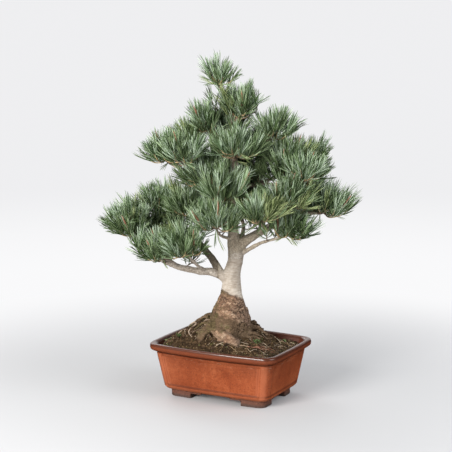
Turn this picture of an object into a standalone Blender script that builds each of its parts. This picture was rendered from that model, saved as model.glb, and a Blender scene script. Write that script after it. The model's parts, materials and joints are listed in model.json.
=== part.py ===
"""Grafted Japanese white pine grown as a bonsai, in its glazed planter. Metres, +Z up, front at -Y.

The origin is on the ground under the middle of the plant. The planter is square to the axes.
The tree is drawn in a frame of its own, turned about Z against the planter: u to the right,
v to the back and z up, which is how its limbs and masses are given below.
"""

import math
import random

import bmesh
import bpy
import numpy as np
from mathutils import Vector

GAP = 0.0003  # between two neighbouring solids
TREE_TURN = math.radians(27.5)  # of the tree's u axis from the planter's long side
PLANT_SHIFT = (0.0082, -0.0185)  # of the planter's middle from the middle of the whole plant

POT = dict(
    length=0.259,
    depth=0.186,
    height=0.104,
    bow_long=(0.0035, 0.0100),  # how far a long side bulges, at the bottom and at the rim
    bow_short=(0.0010, 0.0030),
    side_long=0.910,  # share of a side before its round corner starts
    side_short=0.875,
    panel_long=0.825,  # share of a side that its sunk panel takes, and that of the panel's edge
    panel_short=0.750,
    panel_edge=0.012,
    corner_shares=(0.3, 0.7),
    floor=0.020,
    inner_top=0.102,
    inner_insets=(0.0310, 0.0105),  # of the inner wall, at the floor and under the lip
    underside=0.014,
    underside_inset=0.0275,  # the bottom edge is chamfered up to the wall
    wall_lean=((0.014, 0.093), (0.0218, 0.0084)),  # two levels of the wall and its insets there
    wall_levels=((0.0195, 0), (0.0235, 0), (0.0250, 1), (0.0520, 1), (0.0805, 1), (0.0820, 0)),  # 1: panel
    panel_sink=0.0016,
    lip=(
        (0.0885, 0.0080), (0.0915, 0.0022), (0.0940, 0.0), (0.1010, 0.0),
        (0.1034, 0.0014), (0.1040, 0.0034), (0.1040, 0.0085),
    ),
)
FOOT = dict(
    inset=0.0310,
    leg_long=0.046,
    leg_short=0.034,
    nib_long=0.022,  # a thin tongue that runs on beyond each leg, under the body
    nib_short=0.010,
    nib_height=0.0045,
    wall=0.013,
    corner_shares=(0.35, 0.65),
    into_body=0.0020,
)

SOIL = dict(
    wall_gap=0.0018,
    rim_level=0.0950,
    crest_u=0.054,  # half sizes of the mound's crest, round the trunk's foot
    crest_v=0.050,
    crest_level=0.1290,
    crest_slopes=(-0.0075, 0.0115, 0.0040),  # its rise to the right, to the back, and to both sides
    inner=0.45,  # share of the crest's size where it ends inside the trunk
    shares=(0.30, 0.65),  # of the way from the wall to the crest, where the mound has its rings
    swell=0.0030,
    fall=(0.0120, 0.35),  # how much lower its flank lies on one side, and towards which angle
    lump=(-0.0013, 0.0022),
    seed=4,
)

# The trunk's own line: u, v, z and radius, from the flat cut at the ground to the leader's tip.
TRUNK = (
    (-0.0060, 0.0000, 0.1123, 0.0400),
    (-0.0035, 0.0000, 0.1330, 0.0385),
    (-0.0025, 0.0005, 0.1570, 0.0345),
    (-0.0010, 0.0010, 0.1800, 0.0255),
    (0.0005, 0.0015, 0.1955, 0.0200),
    (0.0005, 0.0020, 0.2050, 0.0182),
    (0.0020, 0.0020, 0.2340, 0.0158),
    (0.0075, 0.0000, 0.2560, 0.0142),
    (0.0085, -0.0020, 0.2740, 0.0150),
    (0.0035, -0.0030, 0.3000, 0.0108),
    (0.0050, -0.0010, 0.3200, 0.0088),
    (0.0050, 0.0040, 0.3520, 0.0084),
    (0.0070, 0.0020, 0.4260, 0.0074),
    (0.0030, -0.0020, 0.4560, 0.0060),
    (0.0010, 0.0000, 0.5280, 0.0034),
    (-0.0100, 0.0010, 0.5560, 0.0028),
    (-0.0200, 0.0000, 0.5760, 0.0024),
)
TRUNK_SIDES = 14
TRUNK_RINGS = 32
FLARE = dict(
    height=0.022, out=0.013, even=0.25, rough=0.03, lobes=(3, 5), shares=(0.6, 0.4), turns=(0.6, 2.1),
)

# Surface roots: the knots of each one's line (u, v, z) and its radii at both ends.
ROOTS = (
    dict(
        name="root_front", thick=(0.0125, 0.0085), knots=(
            (-0.027, -0.026, 0.1300), (-0.014, -0.045, 0.1220),
            (0.002, -0.053, 0.1140), (0.011, -0.057, 0.1080),
        ),
    ),
    dict(
        name="root_left", thick=(0.0080, 0.0050), knots=(
            (-0.030, -0.014, 0.1420), (-0.048, -0.028, 0.1330), (-0.062, -0.044, 0.1150),
        ),
    ),
)
ROOT_SIDES = 8
ROOT_STEPS = 6

BOUGH = dict(
    step=0.018,
    collar=(0.18, 1.6),  # how much wider it is where it leaves, and how far that goes, in its radii
    taper=0.85,
    sunk=0.86,  # its first ring stays inside what carries it
    thick_from=0.005,  # radius from which a bough has more sides
    sides=(6, 8),
    cut_within=0.002,  # of another limb, by which it is then cut
)

# Each mass of needles grows from a bough of its own, or straight from the trunk where "via" is
# empty. "on" is what that bough leaves, "leaves" the height on the trunk or the share of the
# other bough's length, "thick" its radii, "at" the middle of its mass, "spread" the half sizes of
# the dome that its tufts sit on, "tufts" how many there are and "needle" their length's share.
LIMBS = (
    dict(
        name="far_left", on="trunk", leaves=0.2120, thick=(0.0076, 0.0030), collar=(1.0, 2.5),
        via=(
            (-0.017, -0.001, 0.2285), (-0.034, -0.004, 0.2350),
            (-0.066, -0.008, 0.2390), (-0.133, -0.006, 0.2620),
        ),
        at=(-0.184, -0.006, 0.316), spread=(0.024, 0.032, 0.026), tufts=6, needle=1.0,
    ),
    dict(
        name="left_near", on="far_left", leaves=0.28, via=((-0.066, -0.036, 0.258),),
        thick=(0.0038, 0.0020), at=(-0.084, -0.068, 0.284), spread=(0.026, 0.026, 0.012), tufts=5, needle=0.9,
    ),
    dict(
        name="left_under", on="far_left", leaves=0.53, via=((-0.112, -0.030, 0.262),),
        thick=(0.0034, 0.0018), at=(-0.130, -0.056, 0.272), spread=(0.026, 0.022, 0.010), tufts=4, needle=0.9,
    ),
    dict(
        name="left_low_back", on="far_left", leaves=0.66, via=((-0.138, 0.026, 0.276),),
        thick=(0.0034, 0.0018), at=(-0.158, 0.060, 0.296), spread=(0.022, 0.026, 0.012), tufts=4, needle=1.0,
    ),
    dict(
        name="left_back", on="far_left", leaves=0.12, thick=(0.0078, 0.0028),
        via=((-0.029, 0.006, 0.248), (-0.046, 0.018, 0.270), (-0.066, 0.032, 0.290)),
        at=(-0.134, 0.074, 0.342), spread=(0.022, 0.026, 0.016), tufts=4, needle=1.0,
    ),
    dict(
        name="left_mid", on="left_back", leaves=0.62, via=((-0.090, 0.040, 0.322),),
        thick=(0.0036, 0.0020), at=(-0.092, 0.030, 0.345), spread=(0.026, 0.020, 0.014), tufts=4, needle=1.0,
    ),
    dict(
        name="low_right", on="trunk", leaves=0.2620, via=((0.054, -0.016, 0.292),),
        thick=(0.0046, 0.0022), at=(0.106, -0.034, 0.310), spread=(0.032, 0.024, 0.008), tufts=5, needle=0.85,
    ),
    dict(
        name="far_right", on="trunk", leaves=0.2820, thick=(0.0062, 0.0030), collar=(2.6, 2.4),
        via=(
            (0.026, -0.002, 0.2925), (0.040, -0.003, 0.3007),
            (0.070, -0.004, 0.3186), (0.109, -0.006, 0.3440),
        ),
        at=(0.176, 0.000, 0.347), spread=(0.022, 0.026, 0.012), tufts=5, needle=1.0,
    ),
    dict(
        name="right_front", on="far_right", leaves=0.31, via=((0.058, -0.040, 0.328),),
        thick=(0.0038, 0.0020), at=(0.052, -0.088, 0.345), spread=(0.018, 0.022, 0.010), tufts=4, needle=0.9,
    ),
    dict(
        name="right_inner", on="far_right", leaves=0.46, via=((0.092, -0.028, 0.356),),
        thick=(0.0038, 0.0020), at=(0.100, -0.050, 0.372), spread=(0.026, 0.022, 0.012), tufts=5, needle=1.0,
    ),
    dict(
        name="right_mid_back", on="far_right", leaves=0.69, via=((0.132, 0.018, 0.354),),
        thick=(0.0036, 0.0020), at=(0.136, 0.042, 0.364), spread=(0.026, 0.026, 0.012), tufts=4, needle=1.0,
    ),
    dict(
        name="front_low", on="trunk", leaves=0.2970, via=((-0.018, -0.024, 0.307),),
        thick=(0.0036, 0.0020), at=(-0.030, -0.058, 0.328), spread=(0.028, 0.022, 0.012), tufts=5, needle=1.0,
    ),
    dict(
        name="front_mid", on="trunk", leaves=0.3620, via=(),
        thick=(0.0026, 0.0020), at=(-0.016, -0.062, 0.388), spread=(0.026, 0.020, 0.012), tufts=5, needle=1.0,
    ),
    dict(
        name="centre_left", on="trunk", leaves=0.3860, via=(),
        thick=(0.0026, 0.0020), at=(-0.052, -0.018, 0.408), spread=(0.020, 0.022, 0.012), tufts=4, needle=1.0,
    ),
    dict(
        name="right_high", on="trunk", leaves=0.3900, via=((0.062, 0.008, 0.404),),
        thick=(0.0052, 0.0026), at=(0.110, -0.014, 0.432), spread=(0.022, 0.022, 0.014), tufts=5, needle=1.0,
    ),
    dict(
        name="far_right_high", on="right_high", leaves=0.62, via=((0.112, 0.018, 0.422),),
        thick=(0.0032, 0.0018), at=(0.150, 0.020, 0.436), spread=(0.016, 0.022, 0.008), tufts=3, needle=0.9,
    ),
    dict(
        name="right_mid_front", on="right_high", leaves=0.48, via=((0.100, -0.034, 0.404),),
        thick=(0.0032, 0.0018), at=(0.134, -0.050, 0.414), spread=(0.022, 0.022, 0.010), tufts=4, needle=0.9,
    ),
    dict(
        name="pad_outer", on="trunk", leaves=0.4240, via=((-0.050, 0.004, 0.419), (-0.096, 0.002, 0.429)),
        thick=(0.0052, 0.0026), at=(-0.124, 0.000, 0.446), spread=(0.022, 0.030, 0.012), tufts=5, needle=0.95,
    ),
    dict(
        name="pad_front", on="pad_outer", leaves=0.46, via=((-0.080, -0.024, 0.434),),
        thick=(0.0032, 0.0018), at=(-0.09, -0.05, 0.45), spread=(0.024, 0.022, 0.012), tufts=4, needle=0.95,
    ),
    dict(
        name="pad_back", on="pad_outer", leaves=0.30, via=((-0.058, 0.022, 0.446),),
        thick=(0.0034, 0.0018), at=(-0.072, 0.034, 0.466), spread=(0.022, 0.026, 0.012), tufts=4, needle=0.9,
    ),
    dict(
        name="centre_front", on="trunk", leaves=0.4420, via=(),
        thick=(0.0026, 0.0020), at=(0.012, -0.060, 0.462), spread=(0.030, 0.022, 0.014), tufts=5, needle=1.0,
    ),
    dict(
        name="right_shoulder", on="trunk", leaves=0.4620, via=((0.040, -0.006, 0.472),),
        thick=(0.0036, 0.0020), at=(0.082, -0.014, 0.488), spread=(0.015, 0.020, 0.012), tufts=4, needle=0.95,
    ),
    dict(
        name="left_shoulder", on="trunk", leaves=0.4860, via=(),
        thick=(0.0022, 0.0018), at=(-0.05, -0.01, 0.508), spread=(0.012, 0.014, 0.008), tufts=3, needle=0.85,
    ),
    dict(
        name="crown_right", on="trunk", leaves=0.5140, via=(),
        thick=(0.0020, 0.0018), at=(0.026, -0.010, 0.536), spread=(0.014, 0.014, 0.008), tufts=3, needle=0.8,
    ),
    dict(
        name="back_low", on="trunk", leaves=0.2700, via=((0.020, 0.054, 0.288), (0.024, 0.096, 0.306)),
        thick=(0.0064, 0.0028), at=(0.020, 0.142, 0.326), spread=(0.034, 0.024, 0.014), tufts=5, needle=1.0,
    ),
    dict(
        name="back_low_left", on="back_low", leaves=0.46, via=((-0.016, 0.086, 0.312),),
        thick=(0.0038, 0.0020), at=(-0.056, 0.116, 0.334), spread=(0.028, 0.024, 0.012), tufts=4, needle=1.0,
    ),
    dict(
        name="back_low_right", on="back_low", leaves=0.42, via=((0.060, 0.074, 0.306),),
        thick=(0.0038, 0.0020), at=(0.102, 0.096, 0.326), spread=(0.030, 0.024, 0.012), tufts=4, needle=1.0,
    ),
    dict(
        name="back_mid", on="trunk", leaves=0.3740, via=((-0.004, 0.048, 0.388),),
        thick=(0.0046, 0.0024), at=(-0.028, 0.102, 0.410), spread=(0.032, 0.026, 0.014), tufts=5, needle=1.0,
    ),
    dict(
        name="back_right_high", on="trunk", leaves=0.4100, via=((0.034, 0.036, 0.424),),
        thick=(0.0040, 0.0022), at=(0.064, 0.080, 0.440), spread=(0.026, 0.024, 0.012), tufts=4, needle=0.95,
    ),
    dict(
        name="back_high", on="trunk", leaves=0.4700, via=(),
        thick=(0.0024, 0.0018), at=(-0.014, 0.046, 0.494), spread=(0.020, 0.018, 0.012), tufts=4, needle=0.9,
    ),
)
TOP = dict(name="top", at=(-0.0225, 0.000, 0.5890), spread=(0.005, 0.005, 0.001), tufts=2, needle=1.0)

NEEDLE = dict(
    length=0.050,
    shortest=0.85,  # share of that length
    cuts=(1.0, 0.8, 0.6, 0.4),  # shares that are tried in turn where it would touch something
    foot=0.0022,  # half width where it leaves the core
    fans=((56, 42), (12, 26)),  # its lean from the tuft's axis in degrees, low and high on the core
    shake=5,
    sweep=0.08,
    samples=14,
)
CORE = dict(sides=6, levels=(0.002, 0.010), radius=0.0029, top=0.016)  # of a tuft
DOME = dict(turn=137.5, crown=0.6, uneven=0.003, lean_side=0.55, lean_out=0.35, near_trunk=0.06)
STEM = dict(steps=4, tip=0.0018, straight=(0.004, 0.4), narrow=0.9, sag=0.12)
TWIG = dict(
    steps=2,
    sides=3,
    radii=(0.0014, 0.0013, 0.0012),
    bend=(0.55, 0.20),
    leaves=(0.45, 0.45),  # share of the stem where the first one leaves, and how far they spread
    pulls=(1.0, 0.8, 0.6),  # shares of its length that are tried in turn
)
CELL = dict(rise=0.015, reach=0.030)  # a mass's space: its middle above the dome's, and its reach
TIP_BACK = 0.016  # a bough ends this far short of its mass's middle
CLEAR = 0.0005  # of a needle from what it grows past
LIMB_SPARE = 1.06  # limbs count as this much thicker there


# Materials

def material(name, colour, roughness, metallic=0.0):
    made = bpy.data.materials.new(name)
    made.use_nodes = True
    shader = made.node_tree.nodes["Principled BSDF"]
    shader.inputs["Base Color"].default_value = (*colour, 1.0)
    shader.inputs["Roughness"].default_value = roughness
    shader.inputs["Metallic"].default_value = metallic
    return made


# Mesh helpers

def add_object(name, mesh, finish=None, parent=None):
    made = bpy.data.objects.new(name, mesh)
    bpy.context.scene.collection.objects.link(made)
    if finish:
        mesh.materials.clear()
        mesh.materials.append(finish)
    made.parent = parent
    return made


def mesh_from(name, points, faces, in_triangles=False):
    """A mesh of these points and faces, turned outwards. In triangles, a copy that cuts fits it."""
    shape = bmesh.new()
    corners = [shape.verts.new(point) for point in points]
    for face in faces:
        shape.faces.new([corners[i] for i in face])
    bmesh.ops.recalc_face_normals(shape, faces=shape.faces)
    if in_triangles:
        bmesh.ops.triangulate(shape, faces=shape.faces, quad_method="FIXED")
    mesh = bpy.data.meshes.new(name)
    shape.to_mesh(mesh)
    shape.free()
    return mesh


def loft(name, rings, in_triangles=False):
    """A closed skin through rings of equal count, with a flat cap at each end."""
    sides = len(rings[0])
    points = [point for ring in rings for point in ring]
    faces = [tuple(range(sides)), tuple(range(len(points) - sides, len(points)))]
    for low in range(0, len(points) - sides, sides):
        for i in range(sides):
            j = (i + 1) % sides
            faces.append((low + i, low + j, low + sides + j, low + sides + i))
    return mesh_from(name, points, faces, in_triangles)


def smooth_line(knots, count):
    """count + 1 rows read from a smooth curve through the knots, which may carry a radius too."""
    rows = np.array(knots, float)
    steps = np.linalg.norm(np.diff(rows[:, :3], axis=0), axis=1)
    along = np.concatenate([[0.0], np.cumsum(steps)])
    slopes = np.gradient(rows, along, axis=0)
    read = []
    for s in np.linspace(0.0, along[-1], count + 1):
        k = min(int(np.searchsorted(along, s, side="right")) - 1, len(rows) - 2)
        span = along[k + 1] - along[k]
        t = (s - along[k]) / span
        read.append(
            (2 * t**3 - 3 * t**2 + 1) * rows[k]
            + (t**3 - 2 * t**2 + t) * span * slopes[k]
            + (3 * t**2 - 2 * t**3) * rows[k + 1]
            + (t**3 - t**2) * span * slopes[k + 1]
        )
    return np.array(read)


def across(direction, hint):
    """Two unit vectors square to the direction, the first as near as it can be to the hint."""
    first = hint - direction * np.dot(hint, direction)
    first = first / np.linalg.norm(first)
    return first, np.cross(direction, first)


def tube_rings(line, sides, radius_at=None):
    """Rings round a line of rows (u, v, z, radius), the first and last square to its ends."""
    places = line[:, :3]
    ways = np.gradient(places, axis=0)
    ways /= np.linalg.norm(ways, axis=1)[:, None]
    hint = np.array([1.0, 0.0, 0.0]) if abs(ways[0][0]) < 0.8 else np.array([0.0, 0.0, 1.0])
    rings = []
    for place, way, radius in zip(places, ways, line[:, 3]):
        hint, other = across(way, hint)
        ring = []
        for i in range(sides):
            angle = 2 * math.pi * i / sides
            out = radius if radius_at is None else radius_at(angle, place, radius)
            ring.append(place + out * (math.cos(angle) * hint + math.sin(angle) * other))
        rings.append(ring)
    return rings


def boolean(target, operand, operation, solver="EXACT"):
    """Joins or cuts the target's mesh by an object or a collection, which is then removed."""
    step = target.modifiers.new("join", "BOOLEAN")
    step.operation = operation
    step.solver = solver
    if isinstance(operand, bpy.types.Collection):
        step.operand_type = "COLLECTION"
        step.collection = operand
        used = list(operand.objects)
    else:
        step.object = operand
        used = [operand]
    graph = bpy.context.evaluated_depsgraph_get()
    result = bpy.data.meshes.new_from_object(target.evaluated_get(graph))
    target.modifiers.remove(step)
    target.data = result
    for piece in used:
        bpy.data.objects.remove(piece)
    if isinstance(operand, bpy.types.Collection):
        bpy.data.collections.remove(operand)


# Planter

def pot_side(z, inset, share, long_side):
    """A point of one side's bowed line, at a share of its half length from the middle."""
    bow = np.interp(z, (POT["underside"], POT["height"]), POT["bow_long" if long_side else "bow_short"])
    half_x = POT["length"] / 2 - inset
    half_y = POT["depth"] / 2 - inset
    bulge = bow * (1 - share * share)
    if long_side:
        return Vector((share * half_x, -half_y - bulge, z))
    return Vector((half_x + bulge, share * half_y, z))


def pot_corner(z, inset, share):
    """A point of the round corner between the front and the right side."""
    start = pot_side(z, inset, POT["side_long"], True)
    end = pot_side(z, inset, -POT["side_short"], False)
    middle = Vector((POT["length"] / 2 - inset, -POT["depth"] / 2 + inset, z))
    return (1 - share) ** 2 * start + 2 * share * (1 - share) * middle + share**2 * end


def side_shares(edge, panel):
    """Where a side's points lie, with two close together at each end of its panel."""
    half = (panel / 2, panel, panel + POT["panel_edge"], edge)
    return [*(-share for share in reversed(half)), 0.0, *half]


def pot_ring(z, inset, sink=0.0):
    """The planter's outline at one level, with the panels of its four sides sunk."""
    half = []
    for share in side_shares(POT["side_long"], POT["panel_long"]):
        deeper = sink if abs(share) <= POT["panel_long"] else 0.0
        half.append(pot_side(z, inset, share, True) + Vector((0, deeper, 0)))
    for share in POT["corner_shares"]:
        half.append(pot_corner(z, inset, share))
    for share in side_shares(POT["side_short"], POT["panel_short"]):
        deeper = sink if abs(share) <= POT["panel_short"] else 0.0
        half.append(pot_side(z, inset, share, False) - Vector((deeper, 0, 0)))
    for share in reversed(POT["corner_shares"]):
        corner = pot_corner(z, inset, share)
        half.append(Vector((corner.x, -corner.y, z)))
    return half + [Vector((-point.x, -point.y, z)) for point in half]


def foot_outline(z, inset, leg_long, leg_short):
    """The outer line of a corner foot, from its end on the long side round to the short side."""
    half_x = POT["length"] / 2 - inset
    half_y = POT["depth"] / 2 - inset
    line = [pot_side(z, inset, 1 - leg_long / half_x, True), pot_side(z, inset, POT["side_long"], True)]
    line += [pot_corner(z, inset, share) for share in FOOT["corner_shares"]]
    line += [pot_side(z, inset, -POT["side_short"], False)]
    line += [pot_side(z, inset, leg_short / half_y - 1, False)]
    return line


def foot_piece(low, high, leg_long, leg_short, sign_x, sign_y):
    inset, wall = FOOT["inset"], FOOT["wall"]
    outer = foot_outline(POT["underside"], inset, leg_long, leg_short)
    inner = foot_outline(POT["underside"], inset + wall, leg_long - wall, leg_short - wall)
    ring = outer + inner[::-1]
    rings = []
    for z in (low, high):
        rings.append([Vector((point.x * sign_x, point.y * sign_y, z)) for point in ring])
    return loft("foot", rings)


def inner_inset(z):
    """How far the inner wall lies inside the rim's outer edge at a level."""
    return np.interp(z, (POT["floor"], POT["inner_top"]), POT["inner_insets"])


def build_pot(parent, finish):
    rings = [pot_ring(POT["underside"], POT["underside_inset"])]
    for z, sunk in POT["wall_levels"]:
        inset = np.interp(z, *POT["wall_lean"])
        rings.append(pot_ring(z, inset, POT["panel_sink"] if sunk else 0.0))
    rings += [pot_ring(z, inset) for z, inset in POT["lip"]]
    rings += [pot_ring(z, inner_inset(z)) for z in (POT["inner_top"], POT["floor"])]
    pot = add_object("pot", loft("pot", rings))
    feet = bpy.data.collections.new("feet")
    bpy.context.scene.collection.children.link(feet)
    legs = (FOOT["leg_long"], FOOT["leg_short"])
    nibs = (legs[0] + FOOT["nib_long"], legs[1] + FOOT["nib_short"])
    into_body = POT["underside"] + FOOT["into_body"]
    for sign_x in (1, -1):
        for sign_y in (1, -1):
            for low, (long_leg, short_leg) in ((0.0, legs), (POT["underside"] - FOOT["nib_height"], nibs)):
                mesh = foot_piece(low, into_body, long_leg, short_leg, sign_x, sign_y)
                feet.objects.link(bpy.data.objects.new("foot", mesh))
    boolean(pot, feet, "UNION")
    pot.data.materials.clear()
    pot.data.materials.append(finish)
    pot.parent = parent


# Soil

def soil_mesh(raised):
    """The filling of the planter: its wall, the sloping mound and the crest round the trunk."""
    rng = random.Random(SOIL["seed"])
    level = SOIL["rim_level"] + raised
    wall = pot_ring(level, inner_inset(level) + SOIL["wall_gap"])
    rings = [pot_ring(POT["floor"] + GAP, inner_inset(POT["floor"]) + SOIL["wall_gap"]), wall]
    crest = []
    swells = []
    right, back, sides = SOIL["crest_slopes"]
    fall, way = SOIL["fall"]
    for point in wall:
        angle = math.atan2(point.y, point.x) - TREE_TURN
        swells.append(SOIL["swell"] - fall * max(0.0, math.cos(angle - way)))
        u = SOIL["crest_u"] * math.cos(angle)
        v = SOIL["crest_v"] * math.sin(angle)
        rise = right * math.cos(angle) + back * math.sin(angle) + sides * math.cos(2 * angle)
        crest.append(Vector((
            u * math.cos(TREE_TURN) - v * math.sin(TREE_TURN),
            u * math.sin(TREE_TURN) + v * math.cos(TREE_TURN),
            SOIL["crest_level"] + rise + raised,
        )))
    for share in SOIL["shares"]:
        ring = []
        for low, high, swell in zip(wall, crest, swells):
            point = low.lerp(high, share)
            point.z += swell + rng.uniform(*SOIL["lump"])
            ring.append(point)
        rings.append(ring)
    inner = [Vector((point.x * SOIL["inner"], point.y * SOIL["inner"], point.z)) for point in crest]
    return loft("soil", [*rings, crest, inner], in_triangles=True)


# Trunk, roots and boughs

def flare_at(angle, place, radius):
    """The trunk's outline: the root flare's lobes near the ground, and a slight unevenness above."""
    lobe = sum(
        share * math.cos(count * angle + turn)
        for count, share, turn in zip(FLARE["lobes"], FLARE["shares"], FLARE["turns"])
    )
    height = place[2] - TRUNK[0][2]
    spread = FLARE["out"] * math.exp(-height / FLARE["height"]) * (FLARE["even"] + (1 - FLARE["even"]) * lobe)
    return radius * (1 + FLARE["rough"] * lobe) + spread


def trunk_mesh(name, line, grown=0.0):
    wider = line.copy()
    wider[:, 3] += grown / math.cos(math.pi / TRUNK_SIDES)
    rings = tube_rings(wider, TRUNK_SIDES, flare_at)
    for point in rings[0]:
        point[2] = line[0][2] - grown
    return loft(name, rings, in_triangles=True)


def line_of_bough(limb, lines):
    """Rows (u, v, z, radius) from the middle of what carries the bough to its own cut tip."""
    carrier = lines[limb["on"]]
    if limb["on"] == "trunk":
        heights = carrier[:, 2]
        start = np.array([np.interp(limb["leaves"], heights, carrier[:, k]) for k in range(4)])
    else:
        shares = np.linspace(0.0, 1.0, len(carrier))
        start = np.array([np.interp(limb["leaves"], shares, carrier[:, k]) for k in range(4)])
    knots = [start[:3], *map(np.array, limb["via"]), np.array(limb["at"])]
    approach = knots[-1] - knots[-2]
    knots[-1] = knots[-1] - approach / np.linalg.norm(approach) * TIP_BACK
    length = sum(np.linalg.norm(b - a) for a, b in zip(knots, knots[1:]))
    count = max(4, round(length / BOUGH["step"]))
    line = smooth_line([np.append(knot, 0.0) for knot in knots], count)
    thick, thin = limb["thick"]
    wider, reach = limb.get("collar", BOUGH["collar"])
    for k, row in enumerate(line):
        share = k / count
        collar = wider * thick * math.exp(-share * length / (reach * thick))
        row[3] = thin + (thick - thin) * (1 - share) ** BOUGH["taper"] + collar
    line[0][3] = min(line[0][3], BOUGH["sunk"] * start[3])
    return line


def bough_sides(limb):
    return BOUGH["sides"][limb["thick"][0] > BOUGH["thick_from"]]


def bough_mesh(name, line, sides, grown=0.0):
    wider = line.copy()
    wider[:, 3] += grown / math.cos(math.pi / sides)
    return loft(name, tube_rings(wider, sides))


def line_of_root(root):
    """A root that leaves the flare, lies down the mound and ends blunt on it."""
    radii = np.linspace(*root["thick"], len(root["knots"]))
    return smooth_line([[*knot, radius] for knot, radius in zip(root["knots"], radii)], ROOT_STEPS)


# Masses of needles

def gap_to(points, widths, strokes):
    """The least gap from points, each as wide as told, to tapering strokes (start, end, radii)."""
    starts, ends, first, last = strokes
    run = ends - starts
    off = points[:, None, :] - starts[None]
    share = np.clip((off * run[None]).sum(2) / (run * run).sum(1)[None], 0.0, 1.0)
    apart = np.linalg.norm(off - share[..., None] * run[None], axis=2)
    return (apart - first[None] - (last - first)[None] * share - widths[:, None]).min()


def strokes_of(line, wider=1.0):
    """A limb's line as tapering strokes, one for each of its steps."""
    return line[:-1, :3], line[1:, :3], line[:-1, 3] * wider, line[1:, 3] * wider


def joined(strokes):
    return tuple(np.concatenate(column) for column in zip(*strokes))


def inside_cell(points, cell):
    """Whether all points lie in the mass's own space, which planes divide from its neighbours'."""
    normals, offsets = cell
    return bool((points @ normals.T <= offsets[None] - CLEAR).all())


def cells_of(masses):
    """For each mass the planes that part its space from the others', nearer to the smaller one."""
    centres = np.array([np.array(mass["at"]) + [0, 0, CELL["rise"]] for mass in masses])
    reaches = np.array([sum(mass["spread"]) / 3 + CELL["reach"] for mass in masses])
    cells = []
    for i, centre in enumerate(centres):
        others = [j for j in range(len(masses)) if j != i]
        offs = centres[others] - centre
        far = np.linalg.norm(offs, axis=1)
        normals = offs / far[:, None]
        share = 0.5 + (reaches[i] ** 2 - reaches[others] ** 2) / (2 * far**2)
        offsets = (normals * (centre + offs * share[:, None])).sum(1)
        cells.append((normals, offsets))
    return cells


def tuft_seats(mass, seed):
    """Where the mass's tufts sit and how they lean, on a dome over its middle."""
    rng = random.Random(seed)
    middle = np.array(mass["at"])
    wide, deep, high = mass["spread"]
    out = np.array([middle[0], middle[1], 0.0])
    out = out / max(np.linalg.norm(out), DOME["near_trunk"])
    first = rng.uniform(0, 2 * math.pi)
    seats = []
    for i in range(mass["tufts"]):
        share = math.sqrt(i / max(mass["tufts"] - 1, 1))
        angle = first + i * math.radians(DOME["turn"])
        side = np.array([math.cos(angle), math.sin(angle), 0.0]) * share
        rise = high * (DOME["crown"] - share**2) + rng.uniform(-DOME["uneven"], DOME["uneven"])
        seat = middle + side * [wide, deep, 0] + [0, 0, rise]
        lean = np.array([0.0, 0.0, 1.0]) + DOME["lean_side"] * side + DOME["lean_out"] * out
        seats.append((seat, lean / np.linalg.norm(lean)))
    return seats


def tuft_mesh(line, sides, seat, lean, length, rng, fits):
    """A twig that ends in a tuft: a slim core whose upper faces draw out to needles.

    fits tells whether a needle from a foot to a tip has room. The needles are returned too.
    """
    rings = tube_rings(line, sides)
    points = [point for ring in rings for point in ring]
    faces = [tuple(range(sides))]
    for low in range(0, len(points) - sides, sides):
        for i in range(sides):
            j = (i + 1) % sides
            faces.append((low + i, low + j, low + sides + j, low + sides + i))
    count = CORE["sides"]
    first = rings[-1][0] - line[-1, :3]
    first, second = across(lean, first / np.linalg.norm(first))
    end, low, high = len(points) - sides, len(points), len(points) + count
    for level, height in enumerate(CORE["levels"]):
        for i in range(count):
            angle = 2 * math.pi * (i + 0.5 * level) / count
            out = math.cos(angle) * first + math.sin(angle) * second
            points.append(seat + lean * height + CORE["radius"] * out)
    points.append(seat + lean * CORE["top"])
    top = len(points) - 1
    step = count // sides
    for i in range(sides):
        j = (i + 1) % sides
        around = [low + (step * i + k) % count for k in range(step + 1)]
        middle = around[len(around) // 2]
        faces.append((end + i, end + j, middle))
        for k, (one, two) in enumerate(zip(around, around[1:])):
            faces.append((one, two, end + (i if k < len(around) // 2 else j)))
    bearing = []
    for i in range(count):
        j = (i + 1) % count
        bearing.append(((low + i, low + j, high + i), NEEDLE["fans"][0][0]))
        bearing.append(((low + j, high + j, high + i), NEEDLE["fans"][0][1]))
        bearing.append(((high + i, high + j, top), NEEDLE["fans"][1][i % 2]))
    needles = []
    for face, polar in bearing:
        middle = np.mean([points[k] for k in face], axis=0)
        outward = middle - seat
        outward = outward - lean * np.dot(outward, lean)
        outward = outward / np.linalg.norm(outward)
        angle = math.radians(polar + rng.uniform(-NEEDLE["shake"], NEEDLE["shake"]))
        sweep = np.cross(lean, outward) * rng.uniform(-NEEDLE["sweep"], NEEDLE["sweep"])
        way = lean * math.cos(angle) + (outward + sweep) * math.sin(angle)
        reach = length * rng.uniform(NEEDLE["shortest"], 1.0)
        tips = [middle + way * reach * cut for cut in NEEDLE["cuts"]]
        tip = next((tip for tip in tips if fits(middle, tip)), None)
        if tip is None:
            faces.append(face)
            continue
        points.append(tip)
        last = len(points) - 1
        faces += [(face[0], face[1], last), (face[1], face[2], last), (face[2], face[0], last)]
        needles.append((middle, tip))
    return mesh_from("tuft", points, faces), needles


def twig_line(begin, seat, lean):
    """A twig that sags a little on its way to its tuft."""
    share, sag = TWIG["bend"]
    bend = begin + (seat - begin) * share - lean * sag * np.linalg.norm(seat - begin)
    knots = [[*place, radius] for place, radius in zip((begin, bend, seat), TWIG["radii"])]
    return smooth_line(knots, TWIG["steps"])


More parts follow.
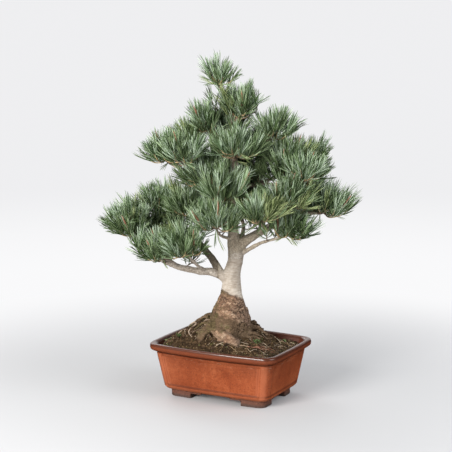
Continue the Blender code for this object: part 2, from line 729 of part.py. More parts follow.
def stem_line(mass, bough, seat, lean):
    """The mass's one stem, from the bough's cut tip, or from inside the trunk, to its first tuft."""
    root = bough[-1, :3]
    if not mass.get("via", True):
        middle = root + (seat - root) * 0.5 - lean * STEM["sag"] * np.linalg.norm(seat - root)
        thick, thin = mass["thick"]
        return smooth_line([[*root, thick], [*middle, thin], [*seat, STEM["tip"]]], STEM["steps"] + 1)
    heading = bough[-1, :3] - bough[-2, :3]
    heading = heading / np.linalg.norm(heading)
    start = root + heading * GAP
    least, share = STEM["straight"]
    straight = start + heading * max(least, share * np.linalg.norm(seat - start))
    radius = bough[-1, 3]
    knots = [[*start, radius], [*straight, radius * STEM["narrow"]], [*seat, STEM["tip"]]]
    stem = smooth_line(knots, STEM["steps"])
    stem[1, :3] = start + heading * np.linalg.norm(stem[1, :3] - start)
    return stem


def grow_mass(mass, seed, bough, cell, limbs, trunk_cutter):
    """One stem, twigs that branch from it and a tuft of needles on each, fused to one solid."""
    rng = random.Random(seed + 100)
    seats = tuft_seats(mass, seed)
    stem = stem_line(mass, bough, *seats[0])
    grown = [(stem, CORE["sides"], *seats[0])]
    for k, (seat, lean) in enumerate(seats[1:]):
        share = (TWIG["leaves"][0] + TWIG["leaves"][1] * k / len(seats)) * (len(stem) - 1)
        begin = np.array([np.interp(share, range(len(stem)), stem[:, axis]) for axis in range(3)])
        for pull in TWIG["pulls"]:
            place = begin + (seat - begin) * pull
            twig = twig_line(begin, place, lean)
            ends = np.vstack([twig[:, :3], place + lean * CORE["top"]])
            wide = np.append(twig[:, 3], CORE["radius"])
            if inside_cell(ends, cell) and gap_to(ends[1:], wide[1:], limbs) > CLEAR:
                grown.append((twig, TWIG["sides"], place, lean))
                break
        else:
            print(mass["name"], "twig skipped", k + 1)
    pieces = []
    placed = []
    for k, (line, sides, seat, lean) in enumerate(grown):
        near = [limbs]
        for i, (other, _, place, way) in enumerate(grown):
            if i != k:
                near.append(strokes_of(other))
                spine = (place + way * CORE["levels"][0], place + way * CORE["top"])
                near.append((spine[0][None], spine[1][None], np.array([CORE["radius"]]), np.array([0.0])))
        for foot, tip in placed:
            near.append((foot[None], tip[None], np.array([NEEDLE["foot"]]), np.array([0.0])))
        near = joined(near)

        def fits(foot, tip):
            shares = np.linspace(0.0, 1.0, NEEDLE["samples"])[:, None]
            spare = NEEDLE["foot"] * (1 - shares[:, 0])
            line_of_needle = foot + (tip - foot) * shares
            return inside_cell(line_of_needle[[0, -1]], cell) and gap_to(line_of_needle, spare, near) > CLEAR

        mesh, needles = tuft_mesh(line, sides, seat, lean, NEEDLE["length"] * mass["needle"], rng, fits)
        placed += needles
        pieces.append(mesh)
    solid = add_object(mass["name"] + "_needles", pieces[0])
    if trunk_cutter:
        boolean(solid, trunk_cutter, "DIFFERENCE", "MANIFOLD")
    group = bpy.data.collections.new("pieces")
    bpy.context.scene.collection.children.link(group)
    for mesh in pieces[1:]:
        group.objects.link(bpy.data.objects.new("piece", mesh))
    if len(pieces) > 1:
        boolean(solid, group, "UNION", "MANIFOLD")
    print(mass["name"], len(grown), "tufts", len(placed), "needles", len(solid.data.polygons), "faces")
    return solid


def main():
    for old in list(bpy.data.objects):
        bpy.data.objects.remove(old)
    glaze = material("orange-brown glaze", (0.42, 0.11, 0.04), 0.25)
    earth = material("dark soil", (0.05, 0.035, 0.022), 0.95)
    bark = material("grey-beige bark", (0.36, 0.28, 0.20), 0.85)
    needle = material("blue-green needles", (0.10, 0.19, 0.11), 0.6)

    tree = bpy.data.objects.new("tree_frame", None)
    bpy.context.scene.collection.objects.link(tree)
    tree.rotation_euler.z = TREE_TURN
    tree.location = (*PLANT_SHIFT, 0.0)
    ground = bpy.data.objects.new("pot_frame", None)
    bpy.context.scene.collection.objects.link(ground)
    ground.location = (*PLANT_SHIFT, 0.0)

    build_pot(ground, glaze)
    soil = add_object("soil", soil_mesh(0.0), None, ground)

    lines = {"trunk": smooth_line(TRUNK, TRUNK_RINGS)}
    add_object("trunk", trunk_mesh("trunk", lines["trunk"]), bark, tree)

    def cutter_of(name):
        """What a limb grows from, made wider by the gap."""
        if name == "trunk":
            return add_object("cutter", trunk_mesh("cutter", lines["trunk"], GAP))
        carrier = next(limb for limb in LIMBS if limb["name"] == name)
        return add_object("cutter", bough_mesh("cutter", lines[name], bough_sides(carrier), GAP))

    def finish_as(made, finish, frame=tree):
        made.data.materials.clear()
        made.data.materials.append(finish)
        made.parent = frame

    foot = cutter_of("trunk")
    foot.parent = tree
    bpy.context.view_layer.update()
    boolean(soil, foot, "DIFFERENCE")
    finish_as(soil, earth, ground)

    for limb in LIMBS:
        if not limb["via"]:
            continue
        line = line_of_bough(limb, lines)
        made = add_object(limb["name"] + "_bough", bough_mesh("bough", line, bough_sides(limb)))
        for other, near in lines.items():
            if gap_to(line[:, :3], line[:, 3], strokes_of(near)) < BOUGH["cut_within"]:
                boolean(made, cutter_of(other), "DIFFERENCE")
        lines[limb["name"]] = line
        finish_as(made, bark)
    for root in ROOTS:
        made = add_object(root["name"], loft("root", tube_rings(line_of_root(root), ROOT_SIDES)))
        boolean(made, cutter_of("trunk"), "DIFFERENCE")
        finish_as(made, bark)
        bpy.context.view_layer.update()
        boolean(made, add_object("cutter", soil_mesh(GAP), None, ground), "DIFFERENCE")
        finish_as(made, bark)

    limbs = joined([strokes_of(line, LIMB_SPARE) for line in lines.values()])
    masses = [*LIMBS, TOP]
    for seed, (mass, cell) in enumerate(zip(masses, cells_of(masses))):
        if mass.get("via", True):
            bough = lines.get(mass["name"], lines["trunk"])
            made = grow_mass(mass, seed, bough, cell, limbs, None)
        else:
            heights = lines["trunk"][:, 2]
            start = [np.interp(mass["leaves"], heights, lines["trunk"][:, k]) for k in range(4)]
            made = grow_mass(mass, seed, np.array([start]), cell, limbs, cutter_of("trunk"))
        finish_as(made, needle)


if __name__ == "__main__":
    main()
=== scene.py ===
import json
import math
import random

import bmesh
import bpy
import numpy as np
from mathutils import Matrix, Vector

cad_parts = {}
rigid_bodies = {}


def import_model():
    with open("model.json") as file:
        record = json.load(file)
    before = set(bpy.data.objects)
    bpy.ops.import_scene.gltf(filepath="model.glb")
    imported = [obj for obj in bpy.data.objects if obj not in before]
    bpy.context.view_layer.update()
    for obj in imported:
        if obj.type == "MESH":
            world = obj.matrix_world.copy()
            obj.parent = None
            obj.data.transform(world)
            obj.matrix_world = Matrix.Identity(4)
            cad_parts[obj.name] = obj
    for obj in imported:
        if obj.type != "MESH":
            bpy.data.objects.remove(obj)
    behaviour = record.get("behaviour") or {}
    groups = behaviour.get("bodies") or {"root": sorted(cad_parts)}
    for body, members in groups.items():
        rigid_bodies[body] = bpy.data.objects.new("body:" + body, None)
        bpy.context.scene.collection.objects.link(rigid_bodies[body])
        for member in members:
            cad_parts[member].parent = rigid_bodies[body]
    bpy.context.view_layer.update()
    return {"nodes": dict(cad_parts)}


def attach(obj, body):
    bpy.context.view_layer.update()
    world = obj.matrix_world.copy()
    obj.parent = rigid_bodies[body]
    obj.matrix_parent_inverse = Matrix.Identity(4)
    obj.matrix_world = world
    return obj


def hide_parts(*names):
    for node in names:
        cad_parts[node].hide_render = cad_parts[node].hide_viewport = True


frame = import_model()
print("frame loaded with", len(frame["nodes"]), "nodes")

gap = 0.0003  # between two neighbouring solids of the frame
treeTurn = math.radians(27.5)  # of the tree's u axis from the planter's long side
plantShift = np.array([0.0082, -0.0185, 0.0])  # of the planter's middle
upwards = np.array([0.0, 0.0, 1.0])


# Shader and node helpers

class Wire:  # an output socket that can be used in sums: each sign adds its Math node
    def __init__(self, bench, socket):
        self.bench, self.socket = bench, socket

    def sum(self, operation, *values):
        return self.bench.node("ShaderNodeMath", {"operation": operation}, dict(enumerate(values)))

    def __add__(self, other): return self.sum("ADD", self, other)
    def __radd__(self, other): return self.sum("ADD", other, self)
    def __sub__(self, other): return self.sum("SUBTRACT", self, other)
    def __rsub__(self, other): return self.sum("SUBTRACT", other, self)
    def __mul__(self, other): return self.sum("MULTIPLY", self, other)
    def __rmul__(self, other): return self.sum("MULTIPLY", other, self)
    def __truediv__(self, other): return self.sum("DIVIDE", self, other)
    def __pow__(self, other): return self.sum("POWER", self, other)

    def least(self, other): return self.sum("MINIMUM", self, other)
    def most(self, other): return self.sum("MAXIMUM", self, other)

    def between(self, low, high):  # 0 below low, 1 above high, and a soft step from one to the other
        return self.bench.node("ShaderNodeMapRange", {"interpolation_type": "SMOOTHSTEP"},
                               {0: self, 1: low, 2: high, 3: 0.0, 4: 1.0})


class Bench:  # a node tree that nodes are added to
    def node(self, kind, settings=None, values=None, output=0):
        made = self.tree.nodes.new(kind)
        for key, value in (settings or {}).items():
            if key != "stops":
                setattr(made, key, value)
                continue
            ramp = made.color_ramp
            while len(ramp.elements) < len(value):
                ramp.elements.new(1.0)
            for stop, (place, colour) in zip(ramp.elements, value):
                stop.position, stop.color = place, (*colour, 1.0)
        for key, value in (values or {}).items():
            if isinstance(value, Wire):
                self.tree.links.new(value.socket, made.inputs[key])
            else:
                made.inputs[key].default_value = value
        return Wire(self, made.outputs[output])


class Finish(Bench):  # a material, whose shader's own sockets take the constants
    def __init__(self, name, colour, **constants):
        self.material = bpy.data.materials.new(name)
        self.material.use_nodes = True
        self.material.diffuse_color = (*colour, 1.0)
        self.tree = self.material.node_tree
        self.shader = self.tree.nodes["Principled BSDF"]
        self.shader.inputs["Base Color"].default_value = (*colour, 1.0)
        for key, value in constants.items():
            self.shader.inputs[key.replace("_", " ")].default_value = value

    def place(self):  # the Object coordinates
        return self.node("ShaderNodeTexCoord", output="Object")

    def axis(self, place, name):
        return self.node("ShaderNodeSeparateXYZ", None, {0: place}, name)

    def stretched(self, place, scale):
        return self.node("ShaderNodeMapping", None, {"Vector": place, "Scale": scale})

    def noise(self, place, scale, detail=3.0, rough=0.55):
        return self.node("ShaderNodeTexNoise", None,
                         {"Vector": place, "Scale": scale, "Detail": detail, "Roughness": rough})

    def specks(self, place, scale, size):  # 1 in small round spots, 0 between them
        far = self.node("ShaderNodeTexVoronoi", None, {"Vector": place, "Scale": scale})
        return 1.0 - far.between(size * 0.6, size)

    def attribute(self, name):
        return self.node("ShaderNodeAttribute", {"attribute_name": name}, None, "Fac")

    def mix(self, factor, one, other, way="MIX"):
        one, other = [value if isinstance(value, Wire) else (*value, 1.0) for value in (one, other)]
        return self.node("ShaderNodeMix", {"data_type": "RGBA", "blend_type": way, "clamp_factor": True},
                         {0: factor, 6: one, 7: other}, 2)

    def ramp(self, value, *stops):
        return self.node("ShaderNodeValToRGB", {"stops": stops}, {0: value})

    def give(self, **wires):  # what changes over the surface
        for key, wire in wires.items():
            self.tree.links.new(wire.socket, self.shader.inputs[key.replace("_", " ")])

    def bump(self, height, reach, strength=1.0):
        self.give(Normal=self.node("ShaderNodeBump", None,
                                   {"Strength": strength, "Distance": reach, "Height": height}))


class Grower(Bench):  # a Geometry Nodes tree with named inputs
    def __init__(self, name, finish, **inputs):
        self.tree = bpy.data.node_groups.new(name, "GeometryNodeTree")
        self.finish = finish
        sockets = self.tree.interface
        sockets.new_socket("Geometry", in_out="INPUT", socket_type="NodeSocketGeometry")
        self.keys = {}
        for key, value in inputs.items():
            kind = "Int" if isinstance(value, int) else "Float"
            self.keys[key] = sockets.new_socket(key, in_out="INPUT", socket_type="NodeSocket" + kind).identifier
        sockets.new_socket("Geometry", in_out="OUTPUT", socket_type="NodeSocketGeometry")
        self.inputs = inputs
        self.start = self.tree.nodes.new("NodeGroupInput")

    def given(self, name):
        return Wire(self, self.start.outputs[name])

    def grow(self, geometry, made, name):  # ends the tree and gives back the plain mesh that it makes
        real = self.node("GeometryNodeRealizeInstances", None, {0: geometry})
        set = self.node("GeometryNodeSetMaterial", None, {0: real, "Material": self.finish.material})
        end = self.tree.nodes.new("NodeGroupOutput")
        self.tree.links.new(set.socket, end.inputs[0])
        step = made.modifiers.new("grow", "NODES")
        step.node_group = self.tree
        for key, value in self.inputs.items():
            step[self.keys[key]] = value
        graph = bpy.context.evaluated_depsgraph_get()
        mesh = bpy.data.meshes.new_from_object(made.evaluated_get(graph))
        bpy.data.objects.remove(made)
        mesh.materials.clear()
        mesh.materials.append(self.finish.material)
        return putObject(name, mesh)


# Mesh helpers

def putObject(name, mesh):
    made = bpy.data.objects.new(name, mesh)
    bpy.context.scene.collection.objects.link(made)
    return made


def meshOf(name, points, faceSets, finishes=(), slots=None, smooth=True, notes=None):
    # faceSets are arrays of corners, each with one count of corners in a row; notes are values per point
    mesh = bpy.data.meshes.new(name)
    points = np.asarray(points, np.float32)
    faceSets = [np.asarray(faces, np.int32) for faces in faceSets if len(faces)]
    corners = np.concatenate([faces.ravel() for faces in faceSets])
    counts = np.concatenate([np.full(len(faces), faces.shape[1]) for faces in faceSets])
    mesh.vertices.add(len(points))
    mesh.vertices.foreach_set("co", points.ravel())
    mesh.loops.add(len(corners))
    mesh.loops.foreach_set("vertex_index", corners)
    mesh.polygons.add(len(counts))
    mesh.polygons.foreach_set("loop_start", np.concatenate([[0], np.cumsum(counts)[:-1]]).astype(np.int32))
    mesh.polygons.foreach_set("use_smooth", np.full(len(counts), smooth))
    if slots is not None:
        mesh.polygons.foreach_set("material_index", np.asarray(slots, np.int32))
    for key, values in (notes or {}).items():
        mesh.attributes.new(key, "FLOAT", "POINT").data.foreach_set("value", np.asarray(values, np.float32))
    for finish in finishes:
        mesh.materials.append(finish.material)
    mesh.update(calc_edges=True)
    return mesh


def ringFaces(rings, sides, start=0):  # the quads between rings of equal count, row after row
    low = start + np.arange(rings - 1)[:, None] * sides
    i = np.arange(sides)[None, :]
    j = (i + 1) % sides
    return np.stack([low + i, low + j, low + sides + j, low + sides + i], -1).reshape(-1, 4)


def pointsOf(mesh):
    points = np.empty(len(mesh.vertices) * 3, np.float32)
    mesh.vertices.foreach_get("co", points)
    return points.reshape(-1, 3).astype(float)


def normalsOf(mesh):
    normals = np.empty(len(mesh.vertices) * 3, np.float32)
    mesh.vertices.foreach_get("normal", normals)
    return normals.reshape(-1, 3).astype(float)


def outwards(mesh):  # turns the faces of a closed mesh outwards
    shape = bmesh.new()
    shape.from_mesh(mesh)
    bmesh.ops.recalc_face_normals(shape, faces=shape.faces)
    shape.to_mesh(mesh)
    shape.free()
    return mesh


def applied(made, name):  # the object's mesh with its modifiers, and nothing of them left
    graph = bpy.context.evaluated_depsgraph_get()
    mesh = bpy.data.meshes.new_from_object(made.evaluated_get(graph))
    bpy.data.objects.remove(made)
    mesh.name = name
    return mesh


def treeToWorld(points):
    points = np.asarray(points, float)
    c, s = math.cos(treeTurn), math.sin(treeTurn)
    return points @ np.array([[c, s, 0], [-s, c, 0], [0, 0, 1]]) + plantShift


def potToWorld(points):
    return np.asarray(points, float) + plantShift


def treeToPot(points):
    return treeToWorld(points) - plantShift


def potToTree(points):
    c, s = math.cos(treeTurn), math.sin(treeTurn)
    return np.asarray(points, float) @ np.array([[c, -s, 0], [s, c, 0], [0, 0, 1]])


def dress(made, slot, *nodes):  # what the object rides on, the record's slot (not used), and the nodes it stands for
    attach(made, "root")
    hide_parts(*nodes)
    print(made.name, sum(len(face.vertices) - 2 for face in made.data.polygons), "triangles")


def hashOf(cells, salt):  # an even number from 0 to 1 for each whole-numbered cell
    mixed = (cells[..., 0] * 73856093) ^ (cells[..., 1] * 19349663) ^ (cells[..., 2] * 83492791) ^ (salt * 40503)
    mixed = ((mixed & 0xFFFFFFFF) ^ (mixed >> 13 & 0x7FFFF)) * 1274126177 & 0xFFFFFFFF
    mixed = (mixed ^ (mixed >> 16)) * 2246822519 & 0xFFFFFFFF
    return ((mixed ^ (mixed >> 13)) & 0xFFFFFF) / 0xFFFFFF


def softNoise(points, size, salt=0, octaves=1):  # from -1 to 1, with lumps of about that size
    total, share, reach = 0.0, 1.0, 0.0
    for octave in range(octaves):
        scaled = points / size * 2.0**octave + 7.3 * salt
        cell = np.floor(scaled).astype(np.int64)
        part = scaled - cell
        part = part * part * (3 - 2 * part)
        value = 0.0
        for corner in range(8):
            step = np.array([corner & 1, corner >> 1 & 1, corner >> 2 & 1])
            weight = np.prod(np.where(step, part, 1 - part), axis=-1)
            value = value + weight * hashOf(cell + step, salt + octave)
        total = total + share * (2 * value - 1)
        reach += share
        share *= 0.5
    return total / reach


def plateNoise(points, size, salt=0):  # how far the nearest plate's edge is, and the plate's own number
    scaled = points / size
    cell = np.floor(scaled).astype(np.int64)
    nearest = np.full(len(points), 9.0)
    second = np.full(len(points), 9.0)
    own = np.zeros(len(points))
    for step in np.ndindex(3, 3, 3):
        other = cell + np.array(step) - 1
        seat = other + np.stack([hashOf(other, salt + k) for k in (1, 2, 3)], -1)
        far = np.linalg.norm(scaled - seat, axis=1)
        closer = far < nearest
        second = np.where(closer, nearest, np.minimum(second, far))
        own = np.where(closer, hashOf(other, salt + 4), own)
        nearest = np.where(closer, far, nearest)
    return second - nearest, own


def smoothStep(value, low, high):
    share = np.clip((value - low) / (high - low), 0.0, 1.0)
    return share * share * (3 - 2 * share)


def smoothLine(knots, count):  # rows read from a smooth curve through the knots, which may carry more values
    rows = np.array(knots, float)
    steps = np.linalg.norm(np.diff(rows[:, :3], axis=0), axis=1)
    along = np.concatenate([[0.0], np.cumsum(steps)])
    slopes = np.gradient(rows, along, axis=0)
    read = []
    for s in np.linspace(0.0, along[-1], count + 1):
        k = min(int(np.searchsorted(along, s, side="right")) - 1, len(rows) - 2)
        span = along[k + 1] - along[k]
        t = (s - along[k]) / span
        read.append((2 * t**3 - 3 * t**2 + 1) * rows[k] + (t**3 - 2 * t**2 + t) * span * slopes[k]
                    + (3 * t**2 - 2 * t**3) * rows[k + 1] + (t**3 - t**2) * span * slopes[k + 1])
    return np.array(read)


def across(direction, hint):  # two unit vectors square to the direction, the first nearest to the hint
    first = hint - direction * np.dot(hint, direction)
    first = first / np.linalg.norm(first)
    return first, np.cross(direction, first)


def tubePoints(line, sides, radiusAt=None):  # rings round rows (x, y, z, radius), as one array
    ways = np.gradient(line[:, :3], axis=0)
    ways /= np.linalg.norm(ways, axis=1)[:, None]
    hint = np.array([1.0, 0.0, 0.0]) if abs(ways[0][0]) < 0.8 else upwards
    angles = 2 * math.pi * np.arange(sides) / sides
    points = []
    for place, way, radius in zip(line[:, :3], ways, line[:, 3]):
        hint, other = across(way, hint)
        out = radius if radiusAt is None else radiusAt(angles, place, radius)[:, None]
        points.append(place + out * (np.cos(angles)[:, None] * hint + np.sin(angles)[:, None] * other))
    return np.concatenate(points)


def strandDraft(name, rows, toWorld):  # edges along each line, with its radius at each point
    points = np.concatenate(rows)
    counts = [len(line) for line in rows]
    starts = np.concatenate([[0], np.cumsum(counts)[:-1]])
    mesh = bpy.data.meshes.new(name)
    mesh.from_pydata(toWorld(points[:, :3]).tolist(),
                     [(s + k, s + k + 1) for s, n in zip(starts.tolist(), counts) for k in range(n - 1)], [])
    mesh.attributes.new("radius", "FLOAT", "POINT").data.foreach_set("value", points[:, 3].astype(np.float32))
    return putObject(name, mesh)


def tubesAlong(name, rows, finish, sides, toWorld):
    grower = Grower(name + " along lines", finish, Sides=sides)
    curve = grower.node("GeometryNodeMeshToCurve", None, {0: grower.given("Geometry")})
    radius = grower.node("GeometryNodeInputNamedAttribute", {"data_type": "FLOAT"}, {"Name": "radius"})
    ring = grower.node("GeometryNodeCurvePrimitiveCircle", {"mode": "RADIUS"},
                       {"Resolution": grower.given("Sides"), "Radius": 1.0})
    curve = grower.node("GeometryNodeSetCurveRadius", None, {"Curve": curve, "Radius": radius})
    tube = grower.node("GeometryNodeCurveToMesh", None,
                       {"Curve": curve, "Profile Curve": ring, "Scale": radius, "Fill Caps": True})
    return grower.grow(tube, strandDraft(name + "Draft", rows, toWorld), name)


# The tree's limbs, by the same rule as the solids. All of it is in the tree's own frame: u right, v back, z up.

trunkPlan = dict(
    rows=(  # u, v, z and radius, from the flat cut at the ground to the leader's tip
        (-0.0060, 0.0000, 0.1123, 0.0400), (-0.0035, 0.0000, 0.1330, 0.0385), (-0.0025, 0.0005, 0.1570, 0.0345),
        (-0.0010, 0.0010, 0.1800, 0.0255), (0.0005, 0.0015, 0.1955, 0.0200), (0.0005, 0.0020, 0.2050, 0.0182),
        (0.0020, 0.0020, 0.2340, 0.0158), (0.0075, 0.0000, 0.2560, 0.0142), (0.0085, -0.0020, 0.2740, 0.0150),
        (0.0035, -0.0030, 0.3000, 0.0108), (0.0050, -0.0010, 0.3200, 0.0088), (0.0050, 0.0040, 0.3520, 0.0084),
        (0.0070, 0.0020, 0.4260, 0.0074), (0.0030, -0.0020, 0.4560, 0.0060), (0.0010, 0.0000, 0.5280, 0.0034),
        (-0.0100, 0.0010, 0.5560, 0.0028), (-0.0200, 0.0000, 0.5760, 0.0024),
    ),
    rings=32,
    flare=dict(height=0.022, out=0.013, even=0.25, rough=0.03, lobes=(3, 5), shares=(0.6, 0.4), turns=(0.6, 2.1)),
)
rootPlan = {  # radii at both ends, and the knots of the line
    "root_front": ((0.0125, 0.0085), ((-0.027, -0.026, 0.1300), (-0.014, -0.045, 0.1220),
                                      (0.002, -0.053, 0.1140), (0.011, -0.057, 0.1080))),
    "root_left": ((0.0080, 0.0050), ((-0.030, -0.014, 0.1420), (-0.048, -0.028, 0.1330), (-0.062, -0.044, 0.1150))),
}
boughPlan = dict(
    step=0.018, taper=0.85, sunk=0.86, tipBack=0.016,
    collar=(0.18, 1.6), collars=dict(far_left=(1.0, 2.5), far_right=(2.6, 2.4)),  # how much wider, and how far
)
limbPlan = {  # what it leaves, where, the line's knots, its radii, the middle of its mass, spread, tufts, needle
    "far_left": ("trunk", 0.212, ((-0.017, -0.001, 0.2285), (-0.034, -0.004, 0.235), (-0.066, -0.008, 0.239),
        (-0.133, -0.006, 0.262)),
        (0.0076, 0.003), (-0.184, -0.006, 0.316), (0.024, 0.032, 0.026), 6, 1),
    "left_near": ("far_left", 0.28, ((-0.066, -0.036, 0.258),),
        (0.0038, 0.002), (-0.084, -0.068, 0.284), (0.026, 0.026, 0.012), 5, 0.9),
    "left_under": ("far_left", 0.53, ((-0.112, -0.03, 0.262),),
        (0.0034, 0.0018), (-0.13, -0.056, 0.272), (0.026, 0.022, 0.01), 4, 0.9),
    "left_low_back": ("far_left", 0.66, ((-0.138, 0.026, 0.276),),
        (0.0034, 0.0018), (-0.158, 0.06, 0.296), (0.022, 0.026, 0.012), 4, 1),
    "left_back": ("far_left", 0.12, ((-0.029, 0.006, 0.248), (-0.046, 0.018, 0.27), (-0.066, 0.032, 0.29)),
        (0.0078, 0.0028), (-0.134, 0.074, 0.342), (0.022, 0.026, 0.016), 4, 1),
    "left_mid": ("left_back", 0.62, ((-0.09, 0.04, 0.322),),
        (0.0036, 0.002), (-0.092, 0.03, 0.345), (0.026, 0.02, 0.014), 4, 1),
    "low_right": ("trunk", 0.262, ((0.054, -0.016, 0.292),),
        (0.0046, 0.0022), (0.106, -0.034, 0.31), (0.032, 0.024, 0.008), 5, 0.85),
    "far_right": ("trunk", 0.282, ((0.026, -0.002, 0.2925), (0.04, -0.003, 0.3007), (0.07, -0.004, 0.3186),
        (0.109, -0.006, 0.344)),
        (0.0062, 0.003), (0.176, 0, 0.347), (0.022, 0.026, 0.012), 5, 1),
    "right_front": ("far_right", 0.31, ((0.058, -0.04, 0.328),),
        (0.0038, 0.002), (0.052, -0.088, 0.345), (0.018, 0.022, 0.01), 4, 0.9),
    "right_inner": ("far_right", 0.46, ((0.092, -0.028, 0.356),),
        (0.0038, 0.002), (0.1, -0.05, 0.372), (0.026, 0.022, 0.012), 5, 1),
    "right_mid_back": ("far_right", 0.69, ((0.132, 0.018, 0.354),),
        (0.0036, 0.002), (0.136, 0.042, 0.364), (0.026, 0.026, 0.012), 4, 1),
    "front_low": ("trunk", 0.297, ((-0.018, -0.024, 0.307),),
        (0.0036, 0.002), (-0.03, -0.058, 0.328), (0.028, 0.022, 0.012), 5, 1),
    "front_mid": ("trunk", 0.362, (),
        (0.0026, 0.002), (-0.016, -0.062, 0.388), (0.026, 0.02, 0.012), 5, 1),
    "centre_left": ("trunk", 0.386, (),
        (0.0026, 0.002), (-0.052, -0.018, 0.408), (0.02, 0.022, 0.012), 4, 1),
    "right_high": ("trunk", 0.39, ((0.062, 0.008, 0.404),),
        (0.0052, 0.0026), (0.11, -0.014, 0.432), (0.022, 0.022, 0.014), 5, 1),
    "far_right_high": ("right_high", 0.62, ((0.112, 0.018, 0.422),),
        (0.0032, 0.0018), (0.15, 0.02, 0.436), (0.016, 0.022, 0.008), 3, 0.9),
    "right_mid_front": ("right_high", 0.48, ((0.1, -0.034, 0.404),),
        (0.0032, 0.0018), (0.134, -0.05, 0.414), (0.022, 0.022, 0.01), 4, 0.9),
    "pad_outer": ("trunk", 0.424, ((-0.05, 0.004, 0.419), (-0.096, 0.002, 0.429)),
        (0.0052, 0.0026), (-0.124, 0, 0.446), (0.022, 0.03, 0.012), 5, 0.95),
    "pad_front": ("pad_outer", 0.46, ((-0.08, -0.024, 0.434),),
        (0.0032, 0.0018), (-0.09, -0.05, 0.45), (0.024, 0.022, 0.012), 4, 0.95),
    "pad_back": ("pad_outer", 0.3, ((-0.058, 0.022, 0.446),),
        (0.0034, 0.0018), (-0.072, 0.034, 0.466), (0.022, 0.026, 0.012), 4, 0.9),
    "centre_front": ("trunk", 0.442, (),
        (0.0026, 0.002), (0.012, -0.06, 0.462), (0.03, 0.022, 0.014), 5, 1),
    "right_shoulder": ("trunk", 0.462, ((0.04, -0.006, 0.472),),
        (0.0036, 0.002), (0.082, -0.014, 0.488), (0.015, 0.02, 0.012), 4, 0.95),
    "left_shoulder": ("trunk", 0.486, (),
        (0.0022, 0.0018), (-0.05, -0.01, 0.508), (0.012, 0.014, 0.008), 3, 0.85),
    "crown_right": ("trunk", 0.514, (),
        (0.002, 0.0018), (0.026, -0.01, 0.536), (0.014, 0.014, 0.008), 3, 0.8),
    "back_low": ("trunk", 0.27, ((0.02, 0.054, 0.288), (0.024, 0.096, 0.306)),
        (0.0064, 0.0028), (0.02, 0.142, 0.326), (0.034, 0.024, 0.014), 5, 1),
    "back_low_left": ("back_low", 0.46, ((-0.016, 0.086, 0.312),),
        (0.0038, 0.002), (-0.056, 0.116, 0.334), (0.028, 0.024, 0.012), 4, 1),
    "back_low_right": ("back_low", 0.42, ((0.06, 0.074, 0.306),),
        (0.0038, 0.002), (0.102, 0.096, 0.326), (0.03, 0.024, 0.012), 4, 1),
    "back_mid": ("trunk", 0.374, ((-0.004, 0.048, 0.388),),
        (0.0046, 0.0024), (-0.028, 0.102, 0.41), (0.032, 0.026, 0.014), 5, 1),
    "back_right_high": ("trunk", 0.41, ((0.034, 0.036, 0.424),),
        (0.004, 0.0022), (0.064, 0.08, 0.44), (0.026, 0.024, 0.012), 4, 0.95),
    "back_high": ("trunk", 0.47, (),
        (0.0024, 0.0018), (-0.014, 0.046, 0.494), (0.02, 0.018, 0.012), 4, 0.9),
}
topPlan = dict(name="top", at=(-0.0225, 0.000, 0.5890), spread=(0.005, 0.005, 0.001), tufts=2, needle=1.0)
massPlan = dict(rise=0.015, reach=0.030, clear=0.0005, limbSpare=1.06, coreRadius=0.0029, coreLow=0.002, coreTop=0.016)
domePlan = dict(turn=137.5, crown=0.6, uneven=0.003, leanSide=0.55, leanOut=0.35, nearTrunk=0.06)
stemPlan = dict(steps=4, tip=0.0018, straight=(0.004, 0.4), narrow=0.9, sag=0.12)
twigPlan = dict(steps=2, radii=(0.0014, 0.0013, 0.0012), bend=(0.55, 0.20), leaves=(0.45, 0.45), pulls=(1.0, 0.8, 0.6))


def limbOf(name):
    keys = ("on", "leaves", "via", "thick", "at", "spread", "tufts", "needle")
    return dict(zip(keys, limbPlan[name]), name=name)


def boughKnots(limb, lines):
    carrier = lines[limb["on"]]
    places = carrier[:, 2] if limb["on"] == "trunk" else np.linspace(0.0, 1.0, len(carrier))
    start = np.array([np.interp(limb["leaves"], places, carrier[:, k]) for k in range(4)])
    knots = [start[:3], *map(np.array, limb["via"]), np.array(limb["at"])]
    approach = knots[-1] - knots[-2]
    knots[-1] = knots[-1] - approach / np.linalg.norm(approach) * boughPlan["tipBack"]
    return start, knots, sum(np.linalg.norm(b - a) for a, b in zip(knots, knots[1:]))


def boughLine(limb, lines, step):  # rows from the middle of what carries the bough to its own tip
    start, knots, length = boughKnots(limb, lines)
    count = max(4, round(length / step))
    line = smoothLine([np.append(knot, 0.0) for knot in knots], count)
    thick, thin = limb["thick"]
    share = np.linspace(0.0, 1.0, count + 1)
    wider, reach = boughPlan["collars"].get(limb["name"], boughPlan["collar"])
    collar = wider * thick * np.exp(-share * length / (reach * thick))
    line[:, 3] = thin + (thick - thin) * (1 - share) ** boughPlan["taper"] + collar
    line[0, 3] = min(line[0, 3], boughPlan["sunk"] * start[3])
    return line


def gapTo(points, widths, strokes):  # the least gap of each point, as wide as told, from tapering strokes
    starts, ends, first, last = strokes
    run = ends - starts
    off = points[:, None, :] - starts[None]
    share = np.clip((off * run[None]).sum(2) / (run * run).sum(1)[None], 0.0, 1.0)
    apart = np.linalg.norm(off - share[..., None] * run[None], axis=2)
    return (apart - first[None] - (last - first)[None] * share - widths[:, None]).min(axis=1)


def strokesOf(line, wider=1.0):
    return line[:-1, :3], line[1:, :3], line[:-1, 3] * wider, line[1:, 3] * wider


def joinStrokes(strokes):
    return tuple(np.concatenate(column) for column in zip(*strokes))


def insideCell(points, cell, spare):
    normals, offsets = cell
    return (points @ normals.T <= offsets[None] - spare).all(axis=1)


